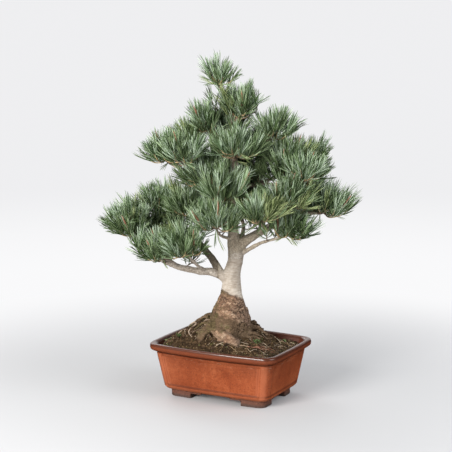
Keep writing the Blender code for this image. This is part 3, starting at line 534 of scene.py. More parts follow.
def cellsOf(masses):  # for each mass the planes that part its space from the others'
    centres = np.array([np.array(mass["at"]) + [0, 0, massPlan["rise"]] for mass in masses])
    reaches = np.array([sum(mass["spread"]) / 3 + massPlan["reach"] for mass in masses])
    cells = []
    for i, centre in enumerate(centres):
        others = [j for j in range(len(masses)) if j != i]
        offs = centres[others] - centre
        far = np.linalg.norm(offs, axis=1)
        normals = offs / far[:, None]
        share = 0.5 + (reaches[i] ** 2 - reaches[others] ** 2) / (2 * far**2)
        cells.append((normals, (normals * (centre + offs * share[:, None])).sum(1)))
    return cells


def tuftSeats(mass, seed):  # where the mass's tufts sit and how they lean
    rng = random.Random(seed)
    middle = np.array(mass["at"])
    wide, deep, high = mass["spread"]
    out = np.array([middle[0], middle[1], 0.0])
    out = out / max(np.linalg.norm(out), domePlan["nearTrunk"])
    first = rng.uniform(0, 2 * math.pi)
    seats = []
    for i in range(mass["tufts"]):
        share = math.sqrt(i / max(mass["tufts"] - 1, 1))
        angle = first + i * math.radians(domePlan["turn"])
        side = np.array([math.cos(angle), math.sin(angle), 0.0]) * share
        rise = high * (domePlan["crown"] - share**2) + rng.uniform(-domePlan["uneven"], domePlan["uneven"])
        seat = middle + side * [wide, deep, 0] + [0, 0, rise]
        lean = upwards + domePlan["leanSide"] * side + domePlan["leanOut"] * out
        seats.append((seat, lean / np.linalg.norm(lean)))
    return seats


def twigLine(begin, seat, lean, steps):
    share, sag = twigPlan["bend"]
    bend = begin + (seat - begin) * share - lean * sag * np.linalg.norm(seat - begin)
    return smoothLine([[*place, radius] for place, radius in zip((begin, bend, seat), twigPlan["radii"])], steps)


def stemLine(mass, bough, seat, lean, finer=1):
    root = bough[-1, :3]
    if not mass.get("via", True):
        middle = root + (seat - root) * 0.5 - lean * stemPlan["sag"] * np.linalg.norm(seat - root)
        thick, thin = mass["thick"]
        return smoothLine([[*root, thick], [*middle, thin], [*seat, stemPlan["tip"]]], (stemPlan["steps"] + 1) * finer)
    heading = bough[-1, :3] - bough[-2, :3]
    heading = heading / np.linalg.norm(heading)
    start = root + heading * gap
    least, share = stemPlan["straight"]
    straight = start + heading * max(least, share * np.linalg.norm(seat - start))
    radius = bough[-1, 3]
    knots = [[*start, radius], [*straight, radius * stemPlan["narrow"]], [*seat, stemPlan["tip"]]]
    stem = smoothLine(knots, stemPlan["steps"] * finer)
    if finer == 1:
        stem[1, :3] = start + heading * np.linalg.norm(stem[1, :3] - start)
    return stem


lines = {"trunk": smoothLine(trunkPlan["rows"], trunkPlan["rings"])}
for name in limbPlan:
    limb = limbOf(name)
    if limb["via"]:
        lines[name] = boughLine(limb, lines, boughPlan["step"])
limbStrokes = joinStrokes([strokesOf(line, massPlan["limbSpare"]) for line in lines.values()])
print("limbs laid out:", len(lines))
# Planter

potPlan = dict(
    length=0.259, depth=0.186, height=0.104, bowLong=(0.0035, 0.0100), bowShort=(0.0010, 0.0030),
    straight=dict(Long=(0.865, 0.870), Short=(0.810, 0.790)),  # how much of a side is straight: wall, and lip
    panelLong=0.825, panelShort=0.750, panelEdge=0.016,
    floor=0.020, innerTop=0.102, innerInsets=(0.0310, 0.0105), underside=0.014, undersideInset=0.0300,
    wallLean=((0.014, 0.093), (0.0218, 0.0084)),
    panelSink=(0.0012, 0.0007), groove=(0.0013, 0.0006), panelLow=(0.0215, 0.0275), panelHigh=(0.0805, 0.0835),
    lip=((0.0860, 0.0096), (0.0885, 0.0078), (0.0905, 0.0042), (0.0925, 0.0013), (0.0950, 0.0002), (0.0980, 0.0),
         (0.1006, 0.0002), (0.1028, 0.0010), (0.1039, 0.0028), (0.1041, 0.0050), (0.1036, 0.0076), (0.1020, 0.0100)),
    lipSteps=34, wallSteps=40, samplesLong=92, samplesShort=64, cornerSamples=16,
)
footPlan = dict(inset=0.0310, legLong=0.046, legShort=0.034, nibLong=0.022, nibShort=0.010, nibHeight=0.0045,
                wall=0.013, bevel=0.0012)


def potSide(z, inset, share, long):
    bow = np.interp(z, (potPlan["underside"], potPlan["height"]), potPlan["bowLong" if long else "bowShort"])
    halfX, halfY = potPlan["length"] / 2 - inset, potPlan["depth"] / 2 - inset
    bulge = bow * (1 - share * share)
    return (share * halfX, -halfY - bulge) if long else (halfX + bulge, share * halfY)


def straightAt(z, side):
    wall, lip = potPlan["straight"][side]
    return wall + (lip - wall) * smoothStep(z, 0.082, 0.094)


def potCorner(z, inset, share):
    start = np.array(potSide(z, inset, straightAt(z, "Long"), True))
    end = np.array(potSide(z, inset, -straightAt(z, "Short"), False))
    middle = np.array([potPlan["length"] / 2 - inset, -potPlan["depth"] / 2 + inset])
    turn = share * math.pi / 2
    return middle + (start - middle) * (1 - math.sin(turn)) + (end - middle) * (1 - math.cos(turn))


def potOutline(z, inset, panel=0.0, groove=0.0):
    # panel and groove say how much of the panel's depth and of its groove this level has
    half = []
    for long, side in ((True, "Long"), (False, "Short")):
        rows, straight = [], straightAt(z, side)
        for share in np.linspace(-straight, straight, potPlan["samples" + side]):
            x, y = potSide(z, inset, share, long)
            past = (abs(share) - potPlan["panel" + side]) / potPlan["panelEdge"]
            sink = panel * potPlan["panelSink"][not long] * (1 - smoothStep(past, 0.0, 1.0))
            sink += potPlan["groove"][not long] * max(panel * math.exp(-((past - 0.6) / 0.5) ** 2), groove * (past < 0.9))
            rows.append((x, y + sink) if long else (x - sink, y))
        half += rows
        corner = [potCorner(z, inset, share) for share in np.linspace(0, 1, potPlan["cornerSamples"] + 2)[1:-1]]
        half += [tuple(point) for point in corner] if long else [(point[0], -point[1]) for point in corner[::-1]]
    half = np.array([(x, y, z) for x, y in half])
    return np.vstack([half, half * [-1, -1, 1]])


def innerInset(z):
    return np.interp(z, (potPlan["floor"], potPlan["innerTop"]), potPlan["innerInsets"])


def potMesh():
    lean = potPlan["wallLean"]
    rings = [potOutline(potPlan["underside"], potPlan["undersideInset"])]
    for z, inset in ((0.0140, 0.0282), (0.0144, 0.0264), (0.0153, 0.0246), (0.0166, 0.0232), (0.0182, 0.0222)):
        rings.append(potOutline(z, inset))
    low, high = potPlan["panelLow"], potPlan["panelHigh"]
    for z in np.linspace(0.0200, 0.0850, potPlan["wallSteps"]):
        panel = smoothStep(z, *low) * (1 - smoothStep(z, *high))
        groove = 0.25 * math.exp(-((z - low[1]) / 0.0015) ** 2) + 0.15 * math.exp(-((z - high[0]) / 0.0025) ** 2)
        rings.append(potOutline(z, np.interp(z, *lean), panel, groove))
    lip = smoothLine([(inset, 0.0, z) for z, inset in potPlan["lip"]], potPlan["lipSteps"])
    rings += [potOutline(z, inset) for inset, _, z in lip]
    rings += [potOutline(z, innerInset(z)) for z in np.linspace(0.0995, potPlan["floor"], 8)]
    sides = len(rings[0])
    caps = []
    for ring, flip in ((0, -1), (len(rings) - 1, 1)):
        around = ring * sides + np.arange(sides)
        centre = len(rings) * sides + (ring > 0)
        caps.append(np.stack([around, np.roll(around, -1), np.full(sides, centre)][::flip], -1))
    points = np.vstack([*rings, [0, 0, potPlan["underside"]], [0, 0, potPlan["floor"]]]) + plantShift
    return outwards(meshOf("pot", points, [ringFaces(len(rings), sides), np.concatenate(caps)]))


def footLine(inset, legLong, legShort):
    z = potPlan["underside"]
    halfX, halfY = potPlan["length"] / 2 - inset, potPlan["depth"] / 2 - inset
    line = [potSide(z, inset, share, True) for share in np.linspace(1 - legLong / halfX, straightAt(0, "Long"), 8)]
    line += [tuple(potCorner(z, inset, share)) for share in np.linspace(0, 1, 8)[1:-1]]
    line += [potSide(z, inset, share, False) for share in np.linspace(-straightAt(0, "Short"), legShort / halfY - 1, 7)]
    return line


def footMesh(low, high, legLong, legShort, signX, signY):
    wall = footPlan["wall"]
    line = footLine(footPlan["inset"], legLong, legShort)
    line += footLine(footPlan["inset"] + wall, legLong - wall, legShort - wall)[::-1]
    rings = [[(x * signX, y * signY, z) for x, y in line] for z in (low, high)]
    sides = len(line)
    mesh = bpy.data.meshes.new("foot")
    faces = ringFaces(2, sides).tolist() + [list(range(sides)), list(range(sides, 2 * sides))]
    mesh.from_pydata((np.array(rings).reshape(-1, 3) + plantShift).tolist(), [], faces)
    return outwards(mesh)


def glazeFinish():
    made = Finish("orange-brown glaze", (0.28, 0.06, 0.02), Roughness=0.32, Coat_Weight=0.2, Coat_Roughness=0.10,
                  Specular_IOR_Level=0.35)
    place = made.place()
    z = made.axis(place, "Z")
    cloud = made.noise(place, 22, 5, 0.65)
    run = made.noise(made.stretched(place, (70, 70, 12)), 1.0, 3)
    fine = made.noise(place, 330, 3, 0.65)
    body = made.ramp(cloud * 0.52 + run * 0.16 + fine * 0.32, (0.37, (0.190, 0.038, 0.013)), (0.50, (0.285, 0.064, 0.021)),
                     (0.63, (0.395, 0.106, 0.038)))
    body = made.mix(1.0 - z.between(0.045, 0.088) * 0.26, (0.0, 0.0, 0.0), body)  # painted shade: the wall darker towards the lip, under its overhang
    # painted shade: the wall darker towards the planter's -X end
    body = made.mix(0.30 - made.axis(place, "X").between(-0.13, 0.13) * 0.30, body, (0.090, 0.018, 0.007))
    body = made.mix(made.specks(place, 300, 0.24) * 0.75, body, (0.050, 0.014, 0.008))
    body = made.mix(made.specks(place, 120, 0.13) * 0.45, body, (0.330, 0.130, 0.062))
    scuff = (made.noise(made.stretched(place, (90, 90, 260)), 1.0, 4, 0.7)).between(0.58, 0.66)
    body = made.mix(scuff * z.between(0.072, 0.082) * (1.0 - z.between(0.0855, 0.0875)) * 0.55, body, (0.36, 0.21, 0.14))
    # painted shade: a dark band under the lip
    body = made.mix(z.between(0.0850, 0.0880) * (1.0 - z.between(0.0905, 0.0925)) * 0.80, body, (0.030, 0.007, 0.004))
    face = made.mix(fine, (0.095, 0.022, 0.009), (0.215, 0.056, 0.022))
    body = made.mix(z.between(0.0905, 0.0935), body, face)
    top = z.between(0.0995, 0.1020)
    body = made.mix(z.between(0.0980, 0.1005) * (0.75 + cloud * 0.4), body, (0.074, 0.020, 0.009))
    # painted shade: a dark line in the groove above the bottom roll
    body = made.mix(z.between(0.0218, 0.0232) * (1.0 - z.between(0.0255, 0.0275)) * 0.55, body, (0.050, 0.012, 0.006))
    # painted highlight: the bottom roll lighter
    body = made.mix((1.0 - z.between(0.0200, 0.0225)) * 0.40, body, (0.330, 0.110, 0.052))
    foot = 1.0 - z.between(0.0125, 0.0160)
    bare = made.ramp(fine, (0.3, (0.060, 0.022, 0.014)), (0.7, (0.170, 0.066, 0.040)))
    bare = made.mix(1.0 - z.between(0.0030, 0.0075), bare, made.mix(fine, (0.030, 0.018, 0.015), (0.110, 0.068, 0.054)))
    body = made.mix(foot * 0.95, body, bare)
    inner = made.attribute("inner")
    # painted highlight: the rounded corners lighter, up to just under the lip
    body = made.mix(made.attribute("corner") * (1.0 - z.between(0.083, 0.088)) * (0.25 + cloud * 0.5), body, (0.440, 0.135, 0.062))
    # painted shade: the inner wall and the lip's inner edge darker, and without coat
    body = made.mix(inner * 0.72, body, (0.050, 0.014, 0.008))
    made.give(Base_Color=body, Roughness=0.26 + cloud * 0.16 + foot * 0.3,
              Coat_Weight=(0.16 + top * 0.26) * (1.0 - foot) * (1.0 - inner))
    made.bump(fine * 0.4 + run * 0.6, 0.0012, 0.35)
    return made


print("throwing the planter")
glaze = glazeFinish()
draft = putObject("potDraft", potMesh())
feet = bpy.data.collections.new("feet")
bpy.context.scene.collection.children.link(feet)
legs = (footPlan["legLong"], footPlan["legShort"])
nibs = (legs[0] + footPlan["nibLong"], legs[1] + footPlan["nibShort"])
for signX in (1, -1):
    for signY in (1, -1):
        for low, (long, short) in ((0.0, legs), (potPlan["underside"] - footPlan["nibHeight"], nibs)):
            foot = bpy.data.objects.new("foot", footMesh(low, potPlan["underside"] + 0.002, long, short, signX, signY))
            bpy.context.scene.collection.objects.link(foot)
            edge = foot.modifiers.new("edge", "BEVEL")
            edge.width, edge.segments, edge.limit_method, edge.angle_limit = footPlan["bevel"], 3, "ANGLE", 0.7
            feet.objects.link(bpy.data.objects.new("foot", applied(foot, "foot")))
union = draft.modifiers.new("feet", "BOOLEAN")
union.operation, union.operand_type, union.collection, union.solver = "UNION", "COLLECTION", feet, "EXACT"
pot = putObject("planter", applied(draft, "planter"))
for foot in list(feet.objects):
    bpy.data.objects.remove(foot)
bpy.data.collections.remove(feet)
pot.data.materials.clear()
pot.data.materials.append(glaze.material)
pot.data.polygons.foreach_set("use_smooth", np.ones(len(pot.data.polygons), bool))
pot.data.set_sharp_from_angle(angle=math.radians(38))
points, normals = pointsOf(pot.data) - plantShift, normalsOf(pot.data)
turned = np.abs(normals[:, 0])
# inner marks the inner wall and the lip's inner edge, which take painted shade
inner = ((points * normals)[:, :2].sum(1) < 0) & (points[:, 2] > 0.02) & (normals[:, 2] < 0.75)
# corner marks the rounded corners, where the glaze takes a painted highlight
corner = smoothStep(turned, 0.03, 0.22) * (1 - smoothStep(turned, 0.55, 0.8)) * (points[:, 2] > 0.016)
for key, values in (("inner", inner), ("corner", corner)):
    pot.data.attributes.new(key, "FLOAT", "POINT").data.foreach_set("value", values.astype(np.float32))
dress(pot, "glaze", "pot")


# Soil with its mound, crumbs, moss, straw and fine roots

soilPlan = dict(
    wallGap=0.0018, rimLevel=0.0950, crestU=0.054, crestV=0.050, crestLevel=0.1290,
    crestSlopes=(-0.0075, 0.0115, 0.0040), inner=0.45, swell=0.0030, fall=(0.0120, 0.35),
    rings=58, innerRings=8, lumps=((0.021, 0.0022), (0.0085, 0.0019), (0.0036, 0.0011)),
)


def soilMesh():
    level = soilPlan["rimLevel"]
    wall = potOutline(level, innerInset(level) + soilPlan["wallGap"])
    base = potOutline(potPlan["floor"] + gap, innerInset(potPlan["floor"]) + soilPlan["wallGap"])
    angles = np.arctan2(wall[:, 1], wall[:, 0]) - treeTurn
    right, back, sides = soilPlan["crestSlopes"]
    fall, way = soilPlan["fall"]
    u, v = soilPlan["crestU"] * np.cos(angles), soilPlan["crestV"] * np.sin(angles)
    c, s = math.cos(treeTurn), math.sin(treeTurn)
    rise = right * np.cos(angles) + back * np.sin(angles) + sides * np.cos(2 * angles)
    crest = np.stack([u * c - v * s, u * s + v * c, soilPlan["crestLevel"] + rise], -1)
    swell = soilPlan["swell"] - fall * np.maximum(0.0, np.cos(angles - way))
    rings = [base]
    for share in np.linspace(0, 1, soilPlan["rings"]):
        ring = wall + (crest - wall) * share
        ring[:, 2] += swell * min(1.0, share / 0.3, (1 - share) / 0.35) ** 0.8
        ring[:, 2] -= 0.0028 * math.exp(-share / 0.04)
        rings.append(ring)
    for share in np.linspace(1, soilPlan["inner"], soilPlan["innerRings"])[1:]:
        rings.append(crest * [share, share, 1])
    count = len(wall)
    points = np.vstack(rings)
    lift = sum(depth * softNoise(points, size, 70 + k, 2) for k, (size, depth) in enumerate(soilPlan["lumps"]))
    lift += 0.0016 * np.maximum(0, softNoise(points, 0.011, 91, 1)) ** 2
    lift[:count] = 0
    calm = np.ones(len(points))
    calm[count:2 * count] = 0.3
    points[:, 2] += lift * calm
    around = len(rings) * count - count + np.arange(count)
    caps = [np.stack([around, np.roll(around, -1), np.full(count, len(points))], -1),
            np.stack([np.roll(np.arange(count), -1), np.arange(count), np.full(count, len(points) + 1)], -1)]
    points = np.vstack([points, [0, 0, points[around, 2].mean()], [0, 0, potPlan["floor"] + gap]]) + plantShift
    mesh = outwards(meshOf("soil", points, [ringFaces(len(rings), count), np.concatenate(caps)]))
    return mesh, points[count:-2]


def earthFinish():
    made = Finish("damp soil", (0.09, 0.055, 0.03), Roughness=0.95, Specular_IOR_Level=0.15)
    place = made.place()
    coarse, fine = made.noise(place, 110, 4, 0.7), made.noise(place, 520, 3, 0.7)
    ground = made.ramp(coarse * 0.55 + fine * 0.45, (0.38, (0.011, 0.006, 0.003)), (0.50, (0.042, 0.025, 0.012)),
                       (0.59, (0.110, 0.067, 0.034)), (0.68, (0.260, 0.175, 0.105)))
    moss = made.noise(place, 48, 3, 0.6).between(0.58, 0.68) * fine.between(0.40, 0.62)
    made.give(Base_Color=made.mix(moss * 0.7, ground, (0.090, 0.100, 0.028)))
    made.bump(fine, 0.0018, 1.0)
    return made


def crumbsOn(name, mesh, finish, density, size, seed):  # lumps scattered on a copy of the soil's upper side
    grower = Grower(name + " scatter", finish, Density=float(density), Seed=seed)
    normal = grower.node("GeometryNodeInputNormal")
    up = grower.node("ShaderNodeSeparateXYZ", None, {0: normal}, "Z")
    upper = grower.node("FunctionNodeCompare", {"data_type": "FLOAT", "operation": "GREATER_THAN"}, {0: up, 1: 0.35})
    spread = grower.node("GeometryNodeDistributePointsOnFaces", None,
                         {"Mesh": grower.given("Geometry"), "Selection": upper,
                          "Density": grower.given("Density"), "Seed": grower.given("Seed")})
    lump = grower.node("GeometryNodeMeshIcoSphere", None, {"Radius": 1.0, "Subdivisions": 1})
    turn = grower.node("FunctionNodeRandomValue", {"data_type": "FLOAT_VECTOR"},
                       {0: (0.0, 0.0, 0.0), 1: (6.2, 6.2, 6.2), "Seed": seed + 1})
    scale = grower.node("FunctionNodeRandomValue", {"data_type": "FLOAT_VECTOR"},
                        {0: (size[0],) * 3, 1: (size[1],) * 3, "Seed": seed + 2})
    placed = grower.node("GeometryNodeInstanceOnPoints", None,
                         {"Points": spread, "Instance": lump, "Rotation": turn, "Scale": scale})
    return grower.grow(placed, putObject(name + "Draft", mesh.copy()), name)


print("filling in the soil")
earthMesh, soilPoints = soilMesh()
soil = putObject("earth", earthMesh)
soil.data.materials.append(earthFinish().material)
dress(soil, "soil", "soil")
crumbPlan = {  # density per square metre, sizes, dark and light colour
    "clods": (1300, (0.0026, 0.0050), (0.020, 0.012, 0.007), (0.095, 0.058, 0.034)),
    "darkCrumbs": (14000, (0.0007, 0.0028), (0.017, 0.011, 0.005), (0.068, 0.042, 0.020)),
    "brownCrumbs": (9000, (0.0005, 0.0022), (0.068, 0.042, 0.018), (0.185, 0.118, 0.060)),
    "mossCrumbs": (2600, (0.0005, 0.0020), (0.040, 0.044, 0.014), (0.130, 0.140, 0.050)),
    "paleGrit": (2200, (0.0005, 0.0015), (0.240, 0.175, 0.110), (0.440, 0.350, 0.245)),
}
for seed, (name, (density, size, dark, light)) in enumerate(crumbPlan.items()):
    finish = Finish(name, dark, Roughness=0.95, Specular_IOR_Level=0.15)
    finish.give(Base_Color=finish.ramp(finish.noise(finish.place(), 160, 2), (0.38, dark), (0.62, light)))
    dress(crumbsOn(name, earthMesh, finish, density, size, 10 * seed + 3), "soil", "soil")


def soilHeight(x, y):
    near = np.argmin((soilPoints[:, 0] - x) ** 2 + (soilPoints[:, 1] - y) ** 2)
    return soilPoints[near, 2]


def litterRows(count, length, radius, rng, lift, bend):  # thin lines that lie on the soil
    rows = []
    while len(rows) < count:
        x, y = rng.uniform(-0.115, 0.115), rng.uniform(-0.082, 0.082)
        angle, turn = rng.uniform(0, 2 * math.pi), rng.uniform(-bend, bend)
        reach = rng.uniform(*length)
        rowPoints = []
        for k in range(9):
            rowPoints.append((x, y))
            angle += turn / 8 + rng.uniform(-0.18, 0.18) * bend
            x += math.cos(angle) * reach / 8
            y += math.sin(angle) * reach / 8
        wall = potPlan["length"] / 2 - 0.016, potPlan["depth"] / 2 - 0.016
        if any(abs(px) > wall[0] or abs(py) > wall[1] for px, py in rowPoints):
            continue
        line = []
        wide = rng.uniform(*radius)
        for k, (px, py) in enumerate(rowPoints):
            z = soilHeight(px + plantShift[0], py + plantShift[1]) + lift * (0.4 + math.sin(math.pi * k / 8))
            line.append((px, py, z, wide * (1 - 0.5 * k / 8)))
        rows.append(np.array(line))
    return rows


litterPlan = {  # how many, lengths, radii, lift off the soil, bend, dark and light colour
    "straw": (30, (0.016, 0.036), (0.00026, 0.00045), 0.0007, 0.5, (0.17, 0.095, 0.050), (0.44, 0.31, 0.18)),
    "fineRoots": (110, (0.010, 0.034), (0.00028, 0.00075), 0.0006, 2.4, (0.075, 0.044, 0.026), (0.28, 0.195, 0.130)),
    "paleFibres": (45, (0.008, 0.026), (0.00025, 0.00050), 0.0014, 1.8, (0.260, 0.190, 0.130), (0.52, 0.420, 0.310)),
}
shared = random.Random(77)
for name, (count, length, radius, lift, bend, dark, light) in litterPlan.items():
    finish = Finish(name, dark, Roughness=0.85)
    finish.give(Base_Color=finish.ramp(finish.noise(finish.place(), 60, 2), (0.38, dark), (0.62, light)))
    rows = litterRows(count, length, radius, shared, lift, bend)
    dress(tubesAlong(name, rows, finish, 5, potToWorld), "soil", "soil")


def layAlong(spots, thick, lift, steps=22):  # a line over the soil through spots (x, y) of the planter's frame
    line = smoothLine([[x, y, 0.0, radius] for (x, y), radius in zip(spots, np.linspace(*thick, len(spots)))], steps)
    line[:, 2] = [soilHeight(x + plantShift[0], y + plantShift[1]) for x, y in line[:, :2]]
    line[1:-1, 2] = (line[:-2, 2] + line[1:-1, 2] + line[2:, 2]) / 3
    line[:, 2] += lift * line[:, 3]
    return line


loosePlan = {  # what else lies in sight: its colours, radii at both ends, and the spots that it passes
    "redStraw": ((0.190, 0.066, 0.042), (0.360, 0.170, 0.110), (0.0006, 0.0004), (
        ((0.066, -0.044), (0.080, -0.024), (0.097, -0.011)), ((0.070, -0.036), (0.086, -0.030), (0.101, -0.024)),
        ((0.058, -0.048), (0.074, -0.040), (0.090, -0.036)))),
    "paleStraw": ((0.330, 0.235, 0.150), (0.560, 0.440, 0.310), (0.0006, 0.0003), (
        ((0.003, -0.0735), (0.014, -0.058), (0.024, -0.0395)), ((0.092, 0.012), (0.098, 0.024), (0.103, 0.037)),
        ((0.036, -0.052), (0.050, -0.046), (0.062, -0.046)))),
    "paleRoots": ((0.180, 0.120, 0.078), (0.440, 0.330, 0.240), (0.0019, 0.0008), (
        ((-0.048, 0.004), (-0.069, -0.016), (-0.056, -0.036), (-0.063, -0.050), (-0.050, -0.063)),
        ((-0.030, -0.010), (-0.043, -0.026), (-0.034, -0.040), (-0.038, -0.056)),
        ((-0.056, -0.012), (-0.074, -0.024), (-0.072, -0.040), (-0.086, -0.050)))),
}
for name, (dark, light, thick, lines_) in loosePlan.items():
    finish = Finish(name, dark, Roughness=0.8)
    finish.give(Base_Color=finish.ramp(finish.noise(finish.place(), 130, 2), (0.38, dark), (0.62, light)))
    rows = [layAlong(spots, thick, 0.7) for spots in lines_]
    dress(tubesAlong(name, rows, finish, 8, potToWorld), "soil", "soil")


# Bark: trunk, surface roots and boughs in one skin, with the plates and cracks of the rootstock

barkPlan = dict(
    voxel=0.00124, trunkRows=230, trunkSides=72, boughStep=0.0025, boughSides=20, rootSteps=40,
    graft=dict(level=0.1975, slope=-0.42, width=0.004),  # the graft's height, and how it falls to the right
    plates=dict(size=(0.0125, 0.0125, 0.0080), depth=0.0019, crack=0.13),
    flakes=dict(size=(0.0060, 0.0060, 0.0030), depth=0.0007),
    lumps=dict(size=0.020, depth=0.0026),
    grain=dict(size=(0.0060, 0.0060, 0.0022), depth=0.0007),
    knots=dict(size=0.011, depth=0.0008),  # of the boughs
    rings=dict(size=(0.020, 0.020, 0.0022), depth=0.00028),  # fine marks round the smooth bark
)


def flareAt(angles, place, radius):
    plan = trunkPlan["flare"]
    lobe = sum(share * np.cos(count * angles + turn)
               for count, share, turn in zip(plan["lobes"], plan["shares"], plan["turns"]))
    spread = plan["out"] * math.exp(-(place[2] - trunkPlan["rows"][0][2]) / plan["height"])
    return radius * (1 + plan["rough"] * lobe) + spread * (plan["even"] + (1 - plan["even"]) * lobe)


rootsPlan = dict(count=17, start=0.036, reach=(0.026, 0.050), radii=(0.0054, 0.0022), wander=0.45, steps=12, sunk=0.80,
                 least=5, field=(0.108, 0.074),
                 knob=((-0.004, -0.053, 0.1130, 0.0045), (0.0035, -0.0580, 0.1110, 0.0066),
                       (0.0088, -0.0625, 0.1070, 0.0072), (0.0105, -0.0650, 0.1030, 0.0030)))


def surfaceRoots():  # thin roots that run out from the trunk's foot over the mound
    rng = random.Random(rootsPlan["count"])
    foot = lines["trunk"][0, :2]
    for k in range(rootsPlan["count"]):
        angle = 2 * math.pi * (k + rng.uniform(-0.3, 0.3)) / rootsPlan["count"]
        place = foot + rootsPlan["start"] * np.array([math.cos(angle), math.sin(angle)])
        reach = rng.uniform(*rootsPlan["reach"]) / rootsPlan["steps"]
        thick, knots = rng.uniform(0.7, 1.1), []
        for radius in np.linspace(*rootsPlan["radii"], rootsPlan["steps"]) * thick:
            x, y, _ = treeToPot([*place, 0.0])
            if abs(x) > rootsPlan["field"][0] or abs(y) > rootsPlan["field"][1]:
                break
            level = soilHeight(x + plantShift[0], y + plantShift[1])
            knots.append((*place, level + radius * rootsPlan["sunk"], radius))
            angle += rng.uniform(-1, 1) * rootsPlan["wander"]
            place = place + reach * np.array([math.cos(angle), math.sin(angle)])
        if len(knots) >= rootsPlan["least"]:
            yield smoothLine(knots, 3 * len(knots))


def limbSkin(line, sides, radiusAt=None):
    points = tubePoints(line, sides, radiusAt)
    return points, ringFaces(len(line), sides)


def barkSkin():
    trunk = smoothLine(trunkPlan["rows"], barkPlan["trunkRows"])
    parts = [(trunk, barkPlan["trunkSides"], flareAt)]
    for number, name in enumerate(lines):
        if name == "trunk":
            continue
        line = boughLine(limbOf(name), lines, barkPlan["boughStep"])
        share = np.linspace(0, 1, len(line))
        wander = softNoise(line[:, :3] + number, 0.022, number, 2)
        line[:, 3] *= 1 + 0.10 * wander * np.minimum(1, share * 6)
        line[:, 2] += 0.0011 * softNoise(line[:, :3] + 5 + number, 0.017, number, 2) * np.sin(math.pi * share)
        parts.append((line, barkPlan["boughSides"], None))
    for thick, knots in rootPlan.values():
        radii = np.linspace(*thick, len(knots))
        line = smoothLine([[*knot, radius] for knot, radius in zip(knots, radii)], barkPlan["rootSteps"])
        left = np.linalg.norm(line[:, :3] - line[-1, :3], axis=1) / line[-1, 3]
        line[:, 3] *= np.sqrt(np.clip(1 - (1 - left.clip(0, 1)) ** 2, 0.05, 1))
        parts.append((line, 28, None))
    parts += [(line, 12, None) for line in surfaceRoots()] + [(smoothLine(rootsPlan["knob"], 16), 20, None)]
    points, quads, caps, low = [], [], [], 0
    for line, sides, radiusAt in parts:
        skin, faces = limbSkin(line, sides, radiusAt)
        points.append(skin)
        quads.append(faces + low)
        for ring, middle, flip in ((0, line[0, :3], 1), (len(line) - 1, line[-1, :3], -1)):
            first = low + ring * sides
            around = first + np.arange(sides)
            centre = low + len(skin)
            points.append(middle[None])
            caps.append(np.stack([around, np.full(sides, centre), np.roll(around, -1)][::flip], -1))
            skin = np.vstack([skin, middle[None]])
        low += len(skin)
    mesh = meshOf("barkDraft", treeToWorld(np.concatenate(points)), [np.concatenate(quads), np.concatenate(caps)])
    made = putObject("barkDraft", outwards(mesh))
    step = made.modifiers.new("skin", "REMESH")
    step.mode, step.voxel_size, step.adaptivity, step.use_smooth_shade = "VOXEL", barkPlan["voxel"], 0.0, True
    return applied(made, "bark")


def relax(mesh, points, rounds):  # evens out the steps that the remesh leaves, without shrinking
    edges = np.empty(len(mesh.edges) * 2, np.int32)
    mesh.edges.foreach_get("vertices", edges)
    edges = edges.reshape(-1, 2)
    counts = np.bincount(edges.ravel(), minlength=len(points))[:, None]
    for share in (0.55, -0.57) * rounds:
        total = np.zeros_like(points)
        for axis in range(3):
            total[:, axis] = (np.bincount(edges[:, 0], points[edges[:, 1], axis], len(points))
                              + np.bincount(edges[:, 1], points[edges[:, 0], axis], len(points)))
        points = points + share * (total / counts - points)
    return points


